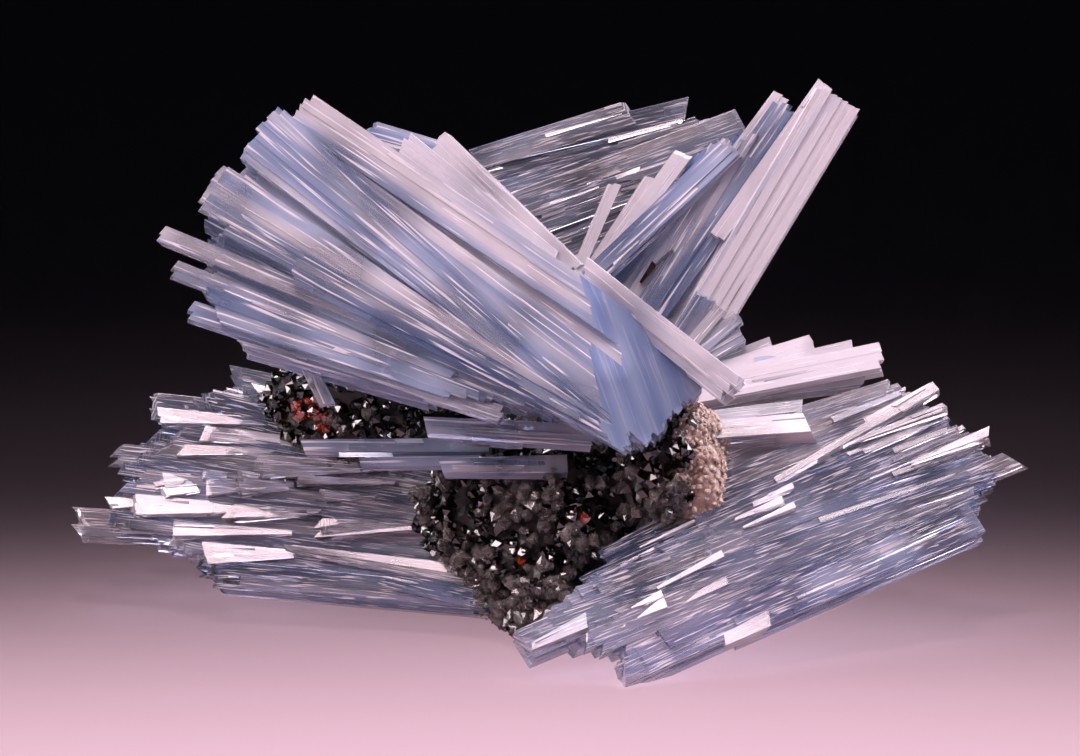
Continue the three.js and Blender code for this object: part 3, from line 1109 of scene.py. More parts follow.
    def standing_ribbons(self, chance: random.Random, stands: Sequence[Stand]) -> list[Ribbon]:
        """Makes ribbons of single crystals.

        Args:
            chance: Source of random numbers.
            stands: The crystals.

        Returns:
            Their ribbons.
        """
        ribbons = []
        for stand in stands:
            root, tip = Vector(stand.root), Vector(stand.tip)
            along = (tip - root).normalized()
            across = Vector((-along.y, along.x)) * stand.width / 2
            edges = tuple(
                (tuple(root + across * side * stand.root_scale), tuple(tip + across * side))
                for side in (-1, 1))
            ribbons.append(Ribbon(
                edges, stand.out, stand.thickness, stand.turn_deg, stand.tint,
                self.varied(chance, self.milks, 0.5) if stand.milk is None else stand.milk,
                min(self.ragged, stand.width / 4), stand.rust))
        return ribbons

    def varied(self, chance: random.Random, ends: Range, share: float) -> float:
        """Returns a value between two ends, a share of the way along, with some chance in it."""
        value = ends[0] + (ends[1] - ends[0]) * share + chance.gauss(0, self.variation)
        return min(max(value, 0.0), 1.0)

    def splinter_blades(self, chance: random.Random) -> list[Blade]:
        """Makes the needles that stand out at the tips."""
        habit = self.splinter_habit
        blades = []
        for i in range(self.splinters):
            share = (i + chance.random()) / self.splinters
            out = self.thickness * chance.uniform(*habit.out)
            root = self.plane.lift(point_on(self.roots, share), out)
            tip = self.plane.lift(point_on(self.tips, share + chance.uniform(*habit.drift)), out)
            along = (tip - root).normalized()
            width = chance.uniform(*habit.width)
            blades.append(Blade(
                root.lerp(tip, chance.uniform(*habit.begin)),
                tip - along * chance.uniform(*habit.short) * self.jag,
                turned(self.plane.normal(), along, chance.gauss(0, habit.twist_deg)),
                width, width * chance.uniform(*habit.flatness), Section.PRISM,
                tip_scale=chance.uniform(*habit.tip_scale), tip_slant=chance.uniform(*habit.tip_slope),
                tip_bevel=chance.uniform(*habit.tip_slope), tint=chance.random(),
                milk=self.varied(chance, self.milks, share), pattern=pattern_start(chance)))
        return blades

    def ribbon_blades(self, chance: random.Random, ribbons: Sequence[Ribbon]) -> list[Blade]:
        """Makes the lamellae and needles of some ribbons.

        Args:
            chance: Source of random numbers.
            ribbons: The ribbons.

        Returns:
            Their blades.
        """
        blades = []
        for ribbon in ribbons:
            for layer in self.layers(chance, ribbon):
                blades += self.lamellae(chance, layer)
            blades += self.whisker_blades(chance, ribbon)
        return blades

    def mesh(self) -> bpy.types.Mesh:
        """Joins the fan's blades in one closed mesh, in the layout's millimetres."""
        chance = random.Random(self.seed)
        ribbons = self.filling_ribbons(chance) + self.standing_ribbons(chance, self.standing)
        blades = self.ribbon_blades(chance, ribbons) + self.splinter_blades(chance)
        mesh = joined([blade.mesh(self.node) for blade in blades], self.node)
        if self.facet:
            mesh = cut(mesh, self.facet.cutter(self.plane).mesh(self.node), self.node)
        if self.grown_on:
            late = self.ribbon_blades(chance, self.standing_ribbons(chance, self.grown_on))
            mesh = joined([mesh] + [blade.mesh(self.node) for blade in late], self.node)
        middle = len(self.roots) // 2
        along = self.plane.lift(self.tips[len(self.tips) // 2], 0) - self.plane.lift(self.roots[middle], 0)
        return sliced(mesh, along.normalized(), self.slice_mm)

    def build(self, material: bpy.types.Material) -> bpy.types.Object:
        """Joins the blades, dresses them and puts the fan in the scene.

        Args:
            material: Its material.

        Returns:
            The fan.
        """
        return placed(self.mesh(), material, self.node + "_crystals", self.slot, self.node)


UPPER_LEFT_FAN = Fan(
    node="upper_left_fan", slot="barite_milky", finish=MILKY_BARITE, seed=11,
    plane=FanPlane(at=(-10, 40, 9), slope=(0.05, -0.25)),
    roots=((16, 30), (9.6, 22.6), (6.4, 24.4), (1.6, 27), (-5, 28), (-12, 28.6)),
    tips=((-23, 56.4), (-27.5, 53.5), (-32, 49.5), (-34.4, 45), (-34.6, 40), (-31, 33.8)),
    ribbons=11, lamella=0.75, jag=3.0, ragged=0.9, step=0.05, terrace=0.4, thickness=5.0,
    turn_deg=1.5, twist_deg=1.2, whiskers=7.0, splinters=18, milks=(0.9, 0.4), tints=(0.7, 0.25),
    standing=(
        Stand((8.8, 23.4), (-28.6, 54.6), 6.2, 2.4, 2.2, 0.3, 1, 0.45),
        Stand((11, 33), (-24.4, 56.8), 3.6, 3.0, 1.4, 0.9, -2, 0.65),
        Stand((8.6, 23), (-33.6, 49.2), 4.8, 2.2, 2.5, 0.3, 2, 0.65),
        Stand((7.4, 24), (-25, 41), 3.0, 2.0, 3.0, 0.4, -8, 0.2),
        Stand((-6, 31.4), (-37.9, 44.2), 1.5, 1.5, 2.2),
        Stand((-9, 29.8), (-37.2, 41), 1.5, 1.5, 2.0),
        Stand((-4, 26.4), (-35.4, 36.9), 1.7, 1.6, 1.4),
        Stand((3, 41.5), (-10.6, 54.6), 1.9, 1.8, -1.4, 0.9, -14, 1.0, 1.0),
        Stand((1, 42), (-14.6, 54.4), 2.3, 1.6, -0.4, 0.9, -12, 1.0, 1.0),
        Stand((-8.6, 53), (-18, 55.7), 2.2, 1.2, -2.2, 0.9, 0, 0.1),
        Stand((-24.6, 33.6), (-21.7, 28), 1.3, 1.0, -1.0),
    ),
    facet=Facet(((2.4, 41.9, 3.1), (9.4, 22.1, 2.4), (15.9, 30.4, -0.5)), 0.15, 1.4),
    grown_on=(
        Stand((3.6, 41.2), (18.8, 29), 2.6, 2.6, 0.2, 0.9, 12, 0.8, 0.9),
    ),
)

UPPER_RIGHT_SHEAF = Fan(
    node="upper_right_sheaf", slot="barite_milky", finish=MILKY_BARITE, seed=23,
    plane=FanPlane(at=(15, 45, -5), slope=(0.02, -0.16)),
    roots=((3, 36), (7, 31), (12, 27)),
    tips=((15.6, 53), (22.6, 57), (28.4, 57)),
    ribbons=5, lamella=0.7, jag=2.4, ragged=0.6, step=0.04, terrace=0.5, thickness=4.2,
    turn_deg=4.0, twist_deg=2.5, whiskers=8.0, splinters=14, milks=(0.5, 0.7), tints=(0.3, 0.8),
    standing=(
        Stand((11, 27.5), (29.4, 58.4), 4.7, 4.6, 1.4, 0.9, 8, 1.3, 2.4),
        Stand((6.4, 31), (25, 57.8), 3.6, 3.0, 0.4, 0.9, -6, 0.5),
        Stand((4.4, 39.9), (18.9, 53.6), 2.3, 2.6, 1.6, 0.9, -10, 0.45),
        Stand((2.9, 40.6), (6.9, 49.9), 1.1, 1.2, 1.0, 0.9, 6, 1.3, 1.9),
        Stand((3.6, 40), (10.9, 50.9), 1.3, 1.3, 0.6, 0.9, 6, 1.3, 1.9),
        Stand((4.6, 40.4), (14, 53.2), 1.5, 1.4, 1.0, 0.9, 6, 1.3, 1.9),
        Stand((14, 46), (23.9, 59.2), 1.5, 1.6, 0.6, 0.9, 4, 1.1, 1.6),
        Stand((17, 44), (28, 59.5), 1.5, 1.6, 2.4, 0.9, 4, 1.2, 1.8),
        Stand((13, 30), (19.8, 40), 1.6, 1.6, -1.6),
        Stand((10.5, 29), (16.6, 38.2), 2.4, 2.2, 3.0, 0.9, 20, 0.35),
        Stand((9.4, 39.7), (10.9, 41.7), 0.45, 0.8, 1.9, 0.4, 0, 0.2, 1.0, 1.0),
        Stand((10.7, 41.4), (12.9, 43.2), 0.25, 0.8, 1.9, 0.7, 0, 0.2, 1.0, 0.7),
    ),
)

BACK_FAN = Fan(
    node="back_fan", slot="barite_clear", finish=CLEAR_BARITE, seed=37,
    plane=FanPlane(at=(5, 50, -13), slope=(0, -0.08)),
    roots=((-9.4, 52.6), (-12, 45), (-10, 38), (-6, 31), (0, 26)),
    tips=((13, 57.6), (19, 55.4), (19.4, 49.6), (16.4, 42), (12, 34)),
    ribbons=7, lamella=1.8, jag=1.4, ragged=0.6, step=0.01, terrace=0.2, thickness=2.6,
    turn_deg=1.5, twist_deg=0.3, whiskers=22.0, splinters=12, milks=(0.2, 0.5), tints=(0.5, 0.6),
    standing=(
        Stand((-7.6, 52.6), (8.6, 57.5), 1.9, 1.4, 0.6),
        Stand((-4, 53.6), (14.6, 58), 1.7, 1.4, 0.2),
        Stand((-8, 46), (19.9, 56.2), 2.6, 1.6, 0.8),
        Stand((6.1, 50.3), (9.9, 51.2), 0.5, 0.8, 1.4, 0.5, 0, 0.4, 1.0, 0.6),
        Stand((7.2, 49.5), (10.3, 50.2), 0.35, 0.8, 1.4, 0.5, 0, 0.8, 1.0, 0.5),
    ),
)

LOWER_RIGHT_FAN = Fan(
    node="lower_right_fan", slot="barite_clear", finish=CLEAR_BARITE, seed=53,
    plane=FanPlane(at=(20, 15, 9.5), slope=(-0.12, -0.62)),
    roots=((16.6, 24), (16.4, 18), (13.4, 13), (4.5, 9.2), (-1.6, 5.4), (7.4, 2.4), (17.6, 5.8)),
    tips=((35.6, 29.8), (39.8, 26.6), (43.2, 24.2), (45.6, 21.4), (44, 18.8), (42.2, 16.6)),
    ribbons=8, lamella=1.8, jag=2.2, ragged=1.1, step=0.01, terrace=0.2, thickness=4.0,
    turn_deg=1.5, twist_deg=0.3, whiskers=30.0, splinters=60, milks=(0.4, 0.1), tints=(0.6, 0.2),
    lean_deg=-10.0, end_slant=0.8,
    standing=(
        Stand((6.6, 0.8), (24, 8.6), 2.6, 3.2, 0.2, 0.9, 10, 0.4, 0.5),
        Stand((17.5, 5.2), (43, 16), 2.6, 3.2, 0.3, 0.9, 10, 0.1, 0.8),
        Stand((-2.4, 3.6), (20, 13), 2.6, 3.0, 0.4, 0.9, 10, 0.6, 0.3),
        Stand((20, 11), (47, 22), 1.6, 1.6, 0.6, 0.9, 10, 0.6, 0.3),
        Stand((22, 19), (39, 28.6), 0.9, 1.2, 1.7, 0.5, -8, 0.9, 0.6),
        Stand((9, 23.2), (26.2, 24.4), 1.9, 2.0, 2.2, 0.9, -10, 1.0, 1.0),
        Stand((9, 24.6), (25.2, 26.4), 1.6, 1.6, 1.4, 0.9, 0, 0.2),
        # Pale, cloudy block ends at the lower left: whitened partly as painted highlight for their bright
        # glints.
        Stand((-1.6, 3.2), (3.4, 5.4), 1.2, 1.4, 1.6, 0.5, 0, 0.9, 0.6),
        Stand((3.6, 4.0), (8.4, 6.2), 1.3, 1.5, 1.4, 0.5, 0, 0.9, 0.6),
        Stand((10, 6.0), (18, 9.6), 0.7, 1.0, 1.7, 0.4, 0, 1.0, 0.8),
        Stand((17.0, 3.6), (21.4, 5.6), 1.3, 1.6, 1.3, 0.7, 0, 0.9, 0.6),
        # Thin white, cloudy needles in two patches: painted highlights, whitened to stand in for bright
        # glints.
        Stand((18.4, 15.4), (23.6, 17.4), 0.6, 0.9, 1.9, 0.4, -5, 1.0, 1.0),
        Stand((19.2, 14.6), (24.6, 16.8), 0.5, 0.9, 1.9, 0.4, -5, 1.0, 1.0),
        Stand((20, 16.8), (24.2, 18.6), 0.5, 0.9, 1.9, 0.4, -5, 1.0, 1.0),
        Stand((31, 25.0), (38.6, 28.4), 1.0, 1.0, 1.8, 0.3, -6, 1.0, 0.9),
        Stand((30, 23), (40, 26.6), 0.7, 1.0, 1.85, 0.3, -6, 1.0, 0.9),
        Stand((36, 21), (44, 24), 0.8, 2.2, 1.2, 0.3, -6, 1.0, 0.9),
        Stand((5.4, 12.4), (19.4, 18.6), 3.0, 1.2, 0.6, 0.4, 10, 0.0, 0.0),
        Stand((3.6, 9.8), (17.4, 15.6), 2.8, 1.2, 0.8, 0.4, 10, 0.0, 0.0),
        Stand((6.4, 10.9), (11, 13), 0.22, 0.6, 1.5, 0.4, -5, 1.0, 1.0),
        Stand((8.4, 12.7), (15.2, 15.8), 0.25, 0.6, 1.4, 0.4, -5, 1.0, 1.0),
        Stand((10.4, 8.6), (17.6, 12.2), 0.6, 0.8, 1.8, 0.4, -5, 1.2, 1.6),
        Stand((8.2, 6.2), (11.8, 7.8), 1.5, 1.0, 1.8, 0.7, 0, 1.3, 2.4),
    ),
)

LOWER_LEFT_FAN = Fan(
    node="lower_left_fan", slot="barite_clear", finish=CLEAR_BARITE, seed=67,
    plane=FanPlane(at=(-25, 15, -3), slope=(0.12, -0.5)),
    roots=((-13, 25.4), (-9, 21.6), (-6, 17), (-5, 12.4), (-4, 9), (-3.4, 7.6)),
    tips=((-30.6, 29.2), (-37, 27.4), (-41.6, 22), (-45, 16.6), (-37, 13.4), (-32.4, 10.6)),
    ribbons=16, lamella=0.9, jag=2.6, ragged=1.3, step=0.04, terrace=0.45, thickness=4.4,
    turn_deg=7.0, twist_deg=1.6, whiskers=14.0, splinters=36, milks=(0.1, 0.4), tints=(0.4, 0.6),
    lean_deg=-13.0, end_slant=1.0,
    standing=(
        Stand((-16, 25), (-39.6, 27.2), 2.2, 2.2, 0.6, 0.9, -18, 0.5, 0.1),
        Stand((-12, 19.4), (-43.4, 22.4), 1.8, 2.0, 0.8, 0.9, -16),
        Stand((-10, 13.6), (-47, 15.6), 2.4, 2.4, 0.4, 0.9, -14),
        Stand((-3.4, 7.6), (-32.8, 10.2), 2.2, 3.0, 0.6, 0.9, -20, 0.2),
        Stand((-26.1, 12.6), (-7.5, 9.6), 1.8, 1.6, 2.2, 0.1, 1, 0.8, 0.5),
        # The next blade lies under the one above and takes the deepest tint: painted shade for that blade's
        # blue underside.
        Stand((-24.4, 11), (-4.4, 7.4), 2.2, 2.0, 1.7, 0.1, 16, 0.0, 0.6),
        Stand((-24, 12), (-33.4, 11.8), 2.0, 2.0, 1.8, 0.3, 1, 0.8, 0.5),
        Stand((-22, 10.2), (-33.2, 10.4), 1.6, 2.4, 0.9, 0.8, -6, 0.6, 0.4),
        Stand((-15.2, 20.4), (-28.2, 20.2), 2.3, 1.6, 2.5, 0.3, 0, 0.8, 0.5),
        Stand((-25, 18.6), (-31, 18.6), 2.5, 1.6, 2.5, 0.5, 1, 0.8, 0.5),
        Stand((-30.8, 18.8), (-34.4, 18.6), 2.5, 1.6, 2.4, 0.7, 0, 0.8, 0.5),
        Stand((-34.3, 18.8), (-39.3, 18.4), 2.4, 1.6, 2.3, 0.7, 2, 0.8, 0.5),
        Stand((-16, 17.4), (-22.5, 17.4), 1.1, 1.4, 2.5, 0.3, 0, 0.8, 0.5),
        Stand((-12, 14.6), (-22, 14.2), 1.7, 1.4, 2.4, 0.3, 0, 0.8, 0.5),
        Stand((-29, 16.4), (-41.4, 16.6), 2.0, 1.4, 2.2, 0.3, 2, 0.8, 0.5),
        Stand((-26, 25), (-38.6, 25.6), 1.5, 1.4, 2.1, 0.3, 2, 0.7, 0.4),
        Stand((-20, 22.6), (-34, 23.6), 1.3, 1.2, 2.5, 0.2, 1, 0.9, 0.5),
        Stand((-26, 22), (-36.6, 22), 0.9, 1.2, 2.5, 0.2, -1, 0.9, 0.5),
        Stand((-14, 18.8), (-25, 19), 0.8, 1.2, 2.6, 0.2, 0, 0.9, 0.5),
        Stand((-22, 16), (-31.4, 15.8), 1.2, 1.2, 2.5, 0.2, 1, 0.9, 0.5),
        Stand((-25, 14), (-37.4, 14.2), 1.4, 1.2, 2.3, 0.2, -1, 0.9, 0.5),
        Stand((-38, 17.4), (-44, 17), 1.1, 1.2, 1.6, 0.4, 0, 0.9, 0.5),
        Stand((-20, 27), (-29, 28.4), 0.7, 1.0, 2.0, 0.3, 0, 0.9, 0.5),
        Stand((-14, 27), (-31.4, 30.4), 1.8, 1.8, 0.4, 0.9, -18, 0.5, 0.1),
    ),
)

RIGHT_SPRAY = Fan(
    node="right_spray", slot="barite_milky", finish=MILKY_BARITE, seed=41,
    plane=FanPlane(at=(24, 30, 0.6), slope=(-0.1, -0.42)),
    roots=((13, 31), (13, 28.8), (13, 27.4)),
    tips=((22.6, 32.6), (29.6, 32.2), (32, 29.8)),
    ribbons=4, lamella=0.7, jag=2.2, ragged=0.6, step=0.04, terrace=0.3, thickness=2.4,
    turn_deg=6.0, twist_deg=3.0, whiskers=8.0, splinters=10, milks=(0.7, 0.4), tints=(0.9, 0.5),
    standing=(
        Stand((12, 27.8), (33.5, 32), 2.4, 2.6, 1.2, 0.9, 0, 1.3, 2.4),
        Stand((12, 29), (30.7, 33.2), 1.4, 1.6, 0.4, 0.9, 0, 1.1, 1.6),
        Stand((12, 29.6), (27, 34), 1.4, 1.6, 0.0, 0.9, 0, 1.1, 1.6),
        Stand((12, 30), (22.8, 34), 1.3, 1.4, -0.4, 0.9, 0, 0.9),
        Stand((12, 30), (19.6, 34.4), 1.3, 1.6, 0.9, 0.9, 0, 0.9),
        Stand((12, 30), (19.3, 36.2), 1.2, 1.6, 1.3, 0.9, 0, 0.9),
        Stand((12, 30.4), (17.4, 36.8), 1.1, 1.6, 1.7, 0.9, 0, 0.9),
    ),
)

FANS = (UPPER_LEFT_FAN, UPPER_RIGHT_SHEAF, BACK_FAN, LOWER_RIGHT_FAN, LOWER_LEFT_FAN, RIGHT_SPRAY)


@dataclass
class Rod:
    """A single stout crystal, a prism stepped by a few narrower ones on its faces.

    Attributes:
        node: The solid that it stands for.
        root: Where it starts, as (u, v, w).
        tip: Where it ends.
        width: Across its broad faces.
        thickness: Between them.
        seed: Starts its random numbers.
        steps: How many narrower crystals are grown onto it.
        facing: Direction that its broad faces are square to.
        tip_scale: Size of its section at the tip.
        tip_slant: Slope of the tip's end face across the width.
        tip_bevel: Slope of the tip's end face across the thickness.
        tint: How pale it is.
        milk: How cloudy it is.
        step_turn_deg: How far to either side of its front the steps lie.
        step_reach: How far the steps lie from its middle, as a share of its thickness.
        step_begin: Where the steps start, as a share of its length.
        step_end: Where the steps end, as a share of its length.
        step_width: Width of the steps, as a share of its own.
        step_thickness: Thickness of the steps, as a share of its own.
        step_slant: Slopes of the steps' end faces.
    """

    node: str
    root: tuple[float, float, float]
    tip: tuple[float, float, float]
    width: float
    thickness: float
    seed: int
    steps: int = 7
    facing: tuple[float, float, float] = (0, 0.35, 1)
    tip_scale: float = 0.8
    tip_slant: float = -0.25
    tip_bevel: float = 0.3
    tint: float = 0.5
    milk: float = 0.5
    step_turn_deg: Range = (-120.0, 120.0)
    step_reach: Range = (0.22, 0.4)
    step_begin: Range = (0.0, 0.6)
    step_end: Range = (0.5, 1.01)
    step_width: Range = (0.2, 0.6)
    step_thickness: float = 0.3
    step_slant: Range = (-0.6, 0.6)

    def blades(self) -> list[Blade]:
        """Returns the prism and its steps."""
        chance = random.Random(self.seed)
        root, tip, facing = Vector(self.root), Vector(self.tip), Vector(self.facing).normalized()
        along = (tip - root).normalized()
        blades = [Blade(
            root, tip, facing, self.width, self.thickness, Section.PRISM, tip_scale=self.tip_scale,
            tip_slant=self.tip_slant, tip_bevel=self.tip_bevel, tint=self.tint, milk=self.milk)]
        for _ in range(self.steps):
            side = turned(facing, along, chance.uniform(*self.step_turn_deg))
            reach = self.thickness * chance.uniform(*self.step_reach)
            begin, end = sorted((chance.uniform(*self.step_begin), chance.uniform(*self.step_end)))
            width = self.width * chance.uniform(*self.step_width)
            blades.append(Blade(
                root.lerp(tip, begin) + side * reach, root.lerp(tip, end) + side * reach, side, width,
                self.thickness * self.step_thickness, Section.PRISM,
                tip_slant=chance.uniform(*self.step_slant), root_slant=chance.uniform(*self.step_slant),
                tint=chance.random(), milk=self.milk))
        return blades

    def build(self, material: bpy.types.Material) -> bpy.types.Object:
        """Joins the prism and its steps, dresses them and puts the rod in the scene.

        Args:
            material: Its material.

        Returns:
            The rod.
        """
        mesh = joined([blade.mesh(self.node) for blade in self.blades()], self.node)
        return placed(mesh, material, self.node + "_crystal", "barite_milky", self.node)


RODS = (
    Rod("front_rod_upper", (4.4, 24.6, 10.2), (-11.8, 25.6, 11.6), 2.9, 2.7, seed=101),
    Rod("front_rod_lower", (2, 21.7, 9.4), (-10.3, 21.6, 10.8), 2.6, 2.4, seed=103),
    Rod("left_rod_long", (-3, 23.6, 5.6), (-24.1, 23.6, 8), 2.1, 2.1, seed=107, steps=4),
    Rod("left_rod_short", (-4, 22.2, 7), (-18.4, 22, 9), 1.6, 1.6, seed=109, steps=4),
)


class Knob(NamedTuple):
    """A rounded lump of the rock: its centre and radii in the layout, and how finely it is divided."""

    at: tuple[float, float, float]
    radii: tuple[float, float, float]
    divisions: int


class Grain(Enum):
    """The kinds of grain on the rock, by the number of their material."""

    GROUNDMASS = 0
    SPHALERITE = 1
    QUARTZ = 2
    RUBY = 3
    DOLOMITE = 4


@dataclass
class RockMatrix:
    """The lump of rock, with grains of quartz, sphalerite and dolomite all over it.

    Attributes:
        knobs: The lumps that it is joined from.
        roughness_mm: Height of the rock's own bumps.
        bump_mm: Size of those bumps.
        grains: How many grains cover it.
        crust_from: Where along u the sugary crust starts.
        crust_grains: How many more grains that crust has.
        seed: Starts its random numbers.
        red_spots: Where red sphalerite shows, as (u, v) and radius.
        bump_fractal: Roughness, lacunarity and octaves of the bumps.
        patch_mm: Size of the patches of quartz.
        dolomite_from: Where along u and v dolomite grains start.
        dolomite_half: Where along u half of the grains are dolomite.
        dolomite_gain: How much that share grows on each millimetre.
        ruby_shares: Share of ruby sphalerite in the red spots, and elsewhere.
        quartz_zone: Between which u the patches of quartz lie.
        quartz_below: Below which v they lie.
        quartz_blur: How far their edges are blurred.
        quartz_elsewhere: Share of quartz elsewhere.
        grain_root: Level of a grain's root in the rock, and the root's scale.
        grain_skew: How unevenly a grain's corners are spaced.
        grain_reach: Least and greatest distance of its corners from its middle, as shares of its radius.
        grain_lean: How far its point may lie off its middle, as a share of its radius.
        grain_tilt: How far grains tilt from the rock's surface.
        bare_mm: Height above the base where the grains start.
    """

    knobs: tuple[Knob, ...] = (
        Knob((1.4, 17, 1), (13.6, 10.4, 8.8), 5),
        Knob((12, 22, 5.6), (6, 7.2, 7.4), 4),
        Knob((-14, 28, -8), (14, 6.8, 8), 4),
        Knob((3, 16.6, -8), (13, 11, 10), 4),
        Knob((0.4, 9.4, 4.4), (4.8, 5.6, 6), 4),
    )
    roughness_mm: float = 1.6
    bump_mm: float = 3.6
    grains: int = 4800
    crust_from: float = 12.8
    crust_grains: int = 2400
    seed: int = 71
    red_spots: tuple[tuple[Point, float], ...] = (
        ((-23.4, 26.9), 1.9), ((-12.1, 22.7), 0.6), ((-6.8, 18.1), 0.6), ((-2.6, 12.7), 0.6))
    bump_fractal: tuple[float, float, int] = (0.9, 2.1, 4)
    patch_mm: float = 5.0
    dolomite_from: Point = (12.5, 14.5)
    dolomite_half: float = 13.0
    dolomite_gain: float = 0.35
    ruby_shares: tuple[float, float] = (0.85, 0.006)
    quartz_zone: Range = (-10.0, 14.0)
    quartz_below: float = 21.0
    quartz_blur: float = 0.3
    quartz_elsewhere: float = 0.1
    grain_root: tuple[float, float] = (-0.8, 0.9)
    grain_skew: float = 0.12
    grain_reach: Range = (0.82, 1.12)
    grain_lean: float = 0.35
    grain_tilt: float = 0.35
    bare_mm: float = 0.4

    def knob_mesh(self, knob: Knob) -> bpy.types.Mesh:
        """Makes one lump's closed mesh, in the frame's metres."""
        shape = bmesh.new()
        bmesh.ops.create_icosphere(shape, subdivisions=knob.divisions, radius=1.0)
        centre = Vector(knob.at)
        for vertex in shape.verts:
            direction = vertex.co.normalized()
            place = centre + Vector([d * r for d, r in zip(direction, knob.radii)])
            height = noise.fractal(place / self.bump_mm, *self.bump_fractal)
            vertex.co = LAYOUT.matrix() @ (place + direction * height * self.roughness_mm)
        mesh = bpy.data.meshes.new("knob")
        shape.to_mesh(mesh)
        shape.free()
        return mesh

    def rock_mesh(self) -> bpy.types.Mesh:
        """Joins the lumps, cut flat where the rock rests."""
        rock = joined([self.knob_mesh(knob) for knob in self.knobs], "rock")
        return cut(rock, level_cutter(), "rock")

    def kind_at(self, place: Vector, chance: random.Random) -> Grain:
        """Chooses the kind of grain for a place on the rock.

        Args:
            place: The place, in the layout's millimetres.
            chance: Source of random numbers.

        Returns:
            The kind of grain.
        """
        u, v, _ = place
        patch = noise.noise(place / self.patch_mm)
        in_crust = u > self.dolomite_from[0] and v > self.dolomite_from[1]
        if in_crust and chance.random() < 0.5 + (u - self.dolomite_half) * self.dolomite_gain:
            return Grain.DOLOMITE
        red = min(math.dist((u, v), spot) - reach for spot, reach in self.red_spots)
        if chance.random() < self.ruby_shares[0 if red < 0 else 1]:
            return Grain.RUBY
        in_zone = self.quartz_zone[0] < u < self.quartz_zone[1] and v < self.quartz_below
        if in_zone and patch + chance.uniform(-self.quartz_blur, self.quartz_blur) > 0.0:
            return Grain.QUARTZ
        return Grain.QUARTZ if chance.random() < self.quartz_elsewhere else Grain.SPHALERITE

    def grain_shape(
        self, kind: Grain, chance: random.Random,
    ) -> tuple[list[Vector], list[tuple[int, ...]]]:
        """Makes one grain that stands along +Z, in millimetres.

        Args:
            kind: What it is.
            chance: Source of random numbers.

        Returns:
            Its points and its faces.
        """
        # Every kind draws its sizes, so that the random numbers after it don't hang on the kind.
        sides, radius, height, point = {
            Grain.SPHALERITE: (5, chance.uniform(0.3, 0.8), chance.uniform(0.2, 0.7), 0.5),
            Grain.QUARTZ: (6, chance.uniform(0.35, 0.9), chance.uniform(0.4, 1.2), 1.1),
            Grain.RUBY: (4, chance.uniform(0.4, 0.8), chance.uniform(0.3, 0.6), 0.5),
            Grain.DOLOMITE: (4, chance.uniform(0.14, 0.36), chance.uniform(0.15, 0.35), 0.4),
        }[kind]
        turn = chance.uniform(0, math.tau)
        points = []
        for level, scale in (self.grain_root, (height, 1.0)):
            for i in range(sides):
                angle = turn + math.tau * (i + chance.uniform(-self.grain_skew, self.grain_skew)) / sides
                reach = radius * scale * chance.uniform(*self.grain_reach)
                points.append(Vector((reach * math.cos(angle), reach * math.sin(angle), level)))
        lean = radius * self.grain_lean
        points.append(Vector(
            (chance.uniform(-lean, lean), chance.uniform(-lean, lean), height + point * radius)))
        faces = [tuple(reversed(range(sides)))]
        for i in range(sides):
            j = (i + 1) % sides
            faces.append((i, j, j + sides, i + sides))
            faces.append((i + sides, j + sides, 2 * sides))
        return points, faces

    def build(self, materials: dict[Grain, bpy.types.Material]) -> bpy.types.Object:
        """Makes the rock with its grains and puts it in the scene.

        Args:
            materials: Material of each kind of grain.

        Returns:
            The rock.
        """
        chance = random.Random(self.seed)
        rock = self.rock_mesh()
        to_layout = LAYOUT.matrix().inverted()
        points = [vertex.co.copy() for vertex in rock.vertices]
        faces = [tuple(polygon.vertices) for polygon in rock.polygons]
        kinds = [
            (Grain.DOLOMITE if (to_layout @ p.center).x > self.crust_from else Grain.GROUNDMASS).value
            for p in rock.polygons
        ]
        spots = [p for p in rock.polygons if p.center.z > self.bare_mm * MM]
        weights = [p.area for p in spots]
        chosen = chance.choices(spots, weights, k=self.grains)
        crust = [p for p in spots if (to_layout @ p.center).x > self.crust_from]
        chosen += chance.choices(crust, [p.area for p in crust], k=self.crust_grains)
        for spot in chosen:
            kind = self.kind_at(to_layout @ spot.center, chance)
            shape, shape_faces = self.grain_shape(kind, chance)
            lean = Vector([chance.gauss(0, self.grain_tilt) for _ in range(3)])
            stand = Vector((0, 0, 1)).rotation_difference((spot.normal + lean).normalized())
            shape = [spot.center + stand @ (point * MM) for point in shape]
            if min(point.z for point in shape) < 0:
                continue
            first = len(points)
            points.extend(shape)
            faces.extend(tuple(first + i for i in face) for face in shape_faces)
            kinds.extend([kind.value] * len(shape_faces))
        mesh = bpy.data.meshes.new("matrix_druse")
        mesh.from_pydata(points, [], faces)
        mesh.polygons.foreach_set("material_index", kinds)
        for grain in Grain:
            mesh.materials.append(materials[grain])
        piece = bpy.data.objects.new(mesh.name, mesh)
        link_piece(piece, "matrix", "matrix")
        return piece


GRAIN_FINISHES = {
    Grain.GROUNDMASS: GROUNDMASS,
    Grain.SPHALERITE: SPHALERITE,
    Grain.QUARTZ: QUARTZ,
    Grain.RUBY: RUBY_SPHALERITE,
    Grain.DOLOMITE: DOLOMITE,
}


class Softbox(NamedTuple):
    """A rectangular studio light: where it stands, its size in metres, its power in watts and its colour."""

    name: str
    at: tuple[float, float, float]
    size: Point
    watts: float
    colour: str


class FloorLamp(NamedTuple):
    """A lamp over the floor in front, which lights the floor alone.

    Attributes:
        name: Its name.
        watts: Its power.
        radius: Its radius, in metres.
        shadows: If shadows fall in its light.
    """

    name: str
    watts: float
    radius: float
    shadows: bool


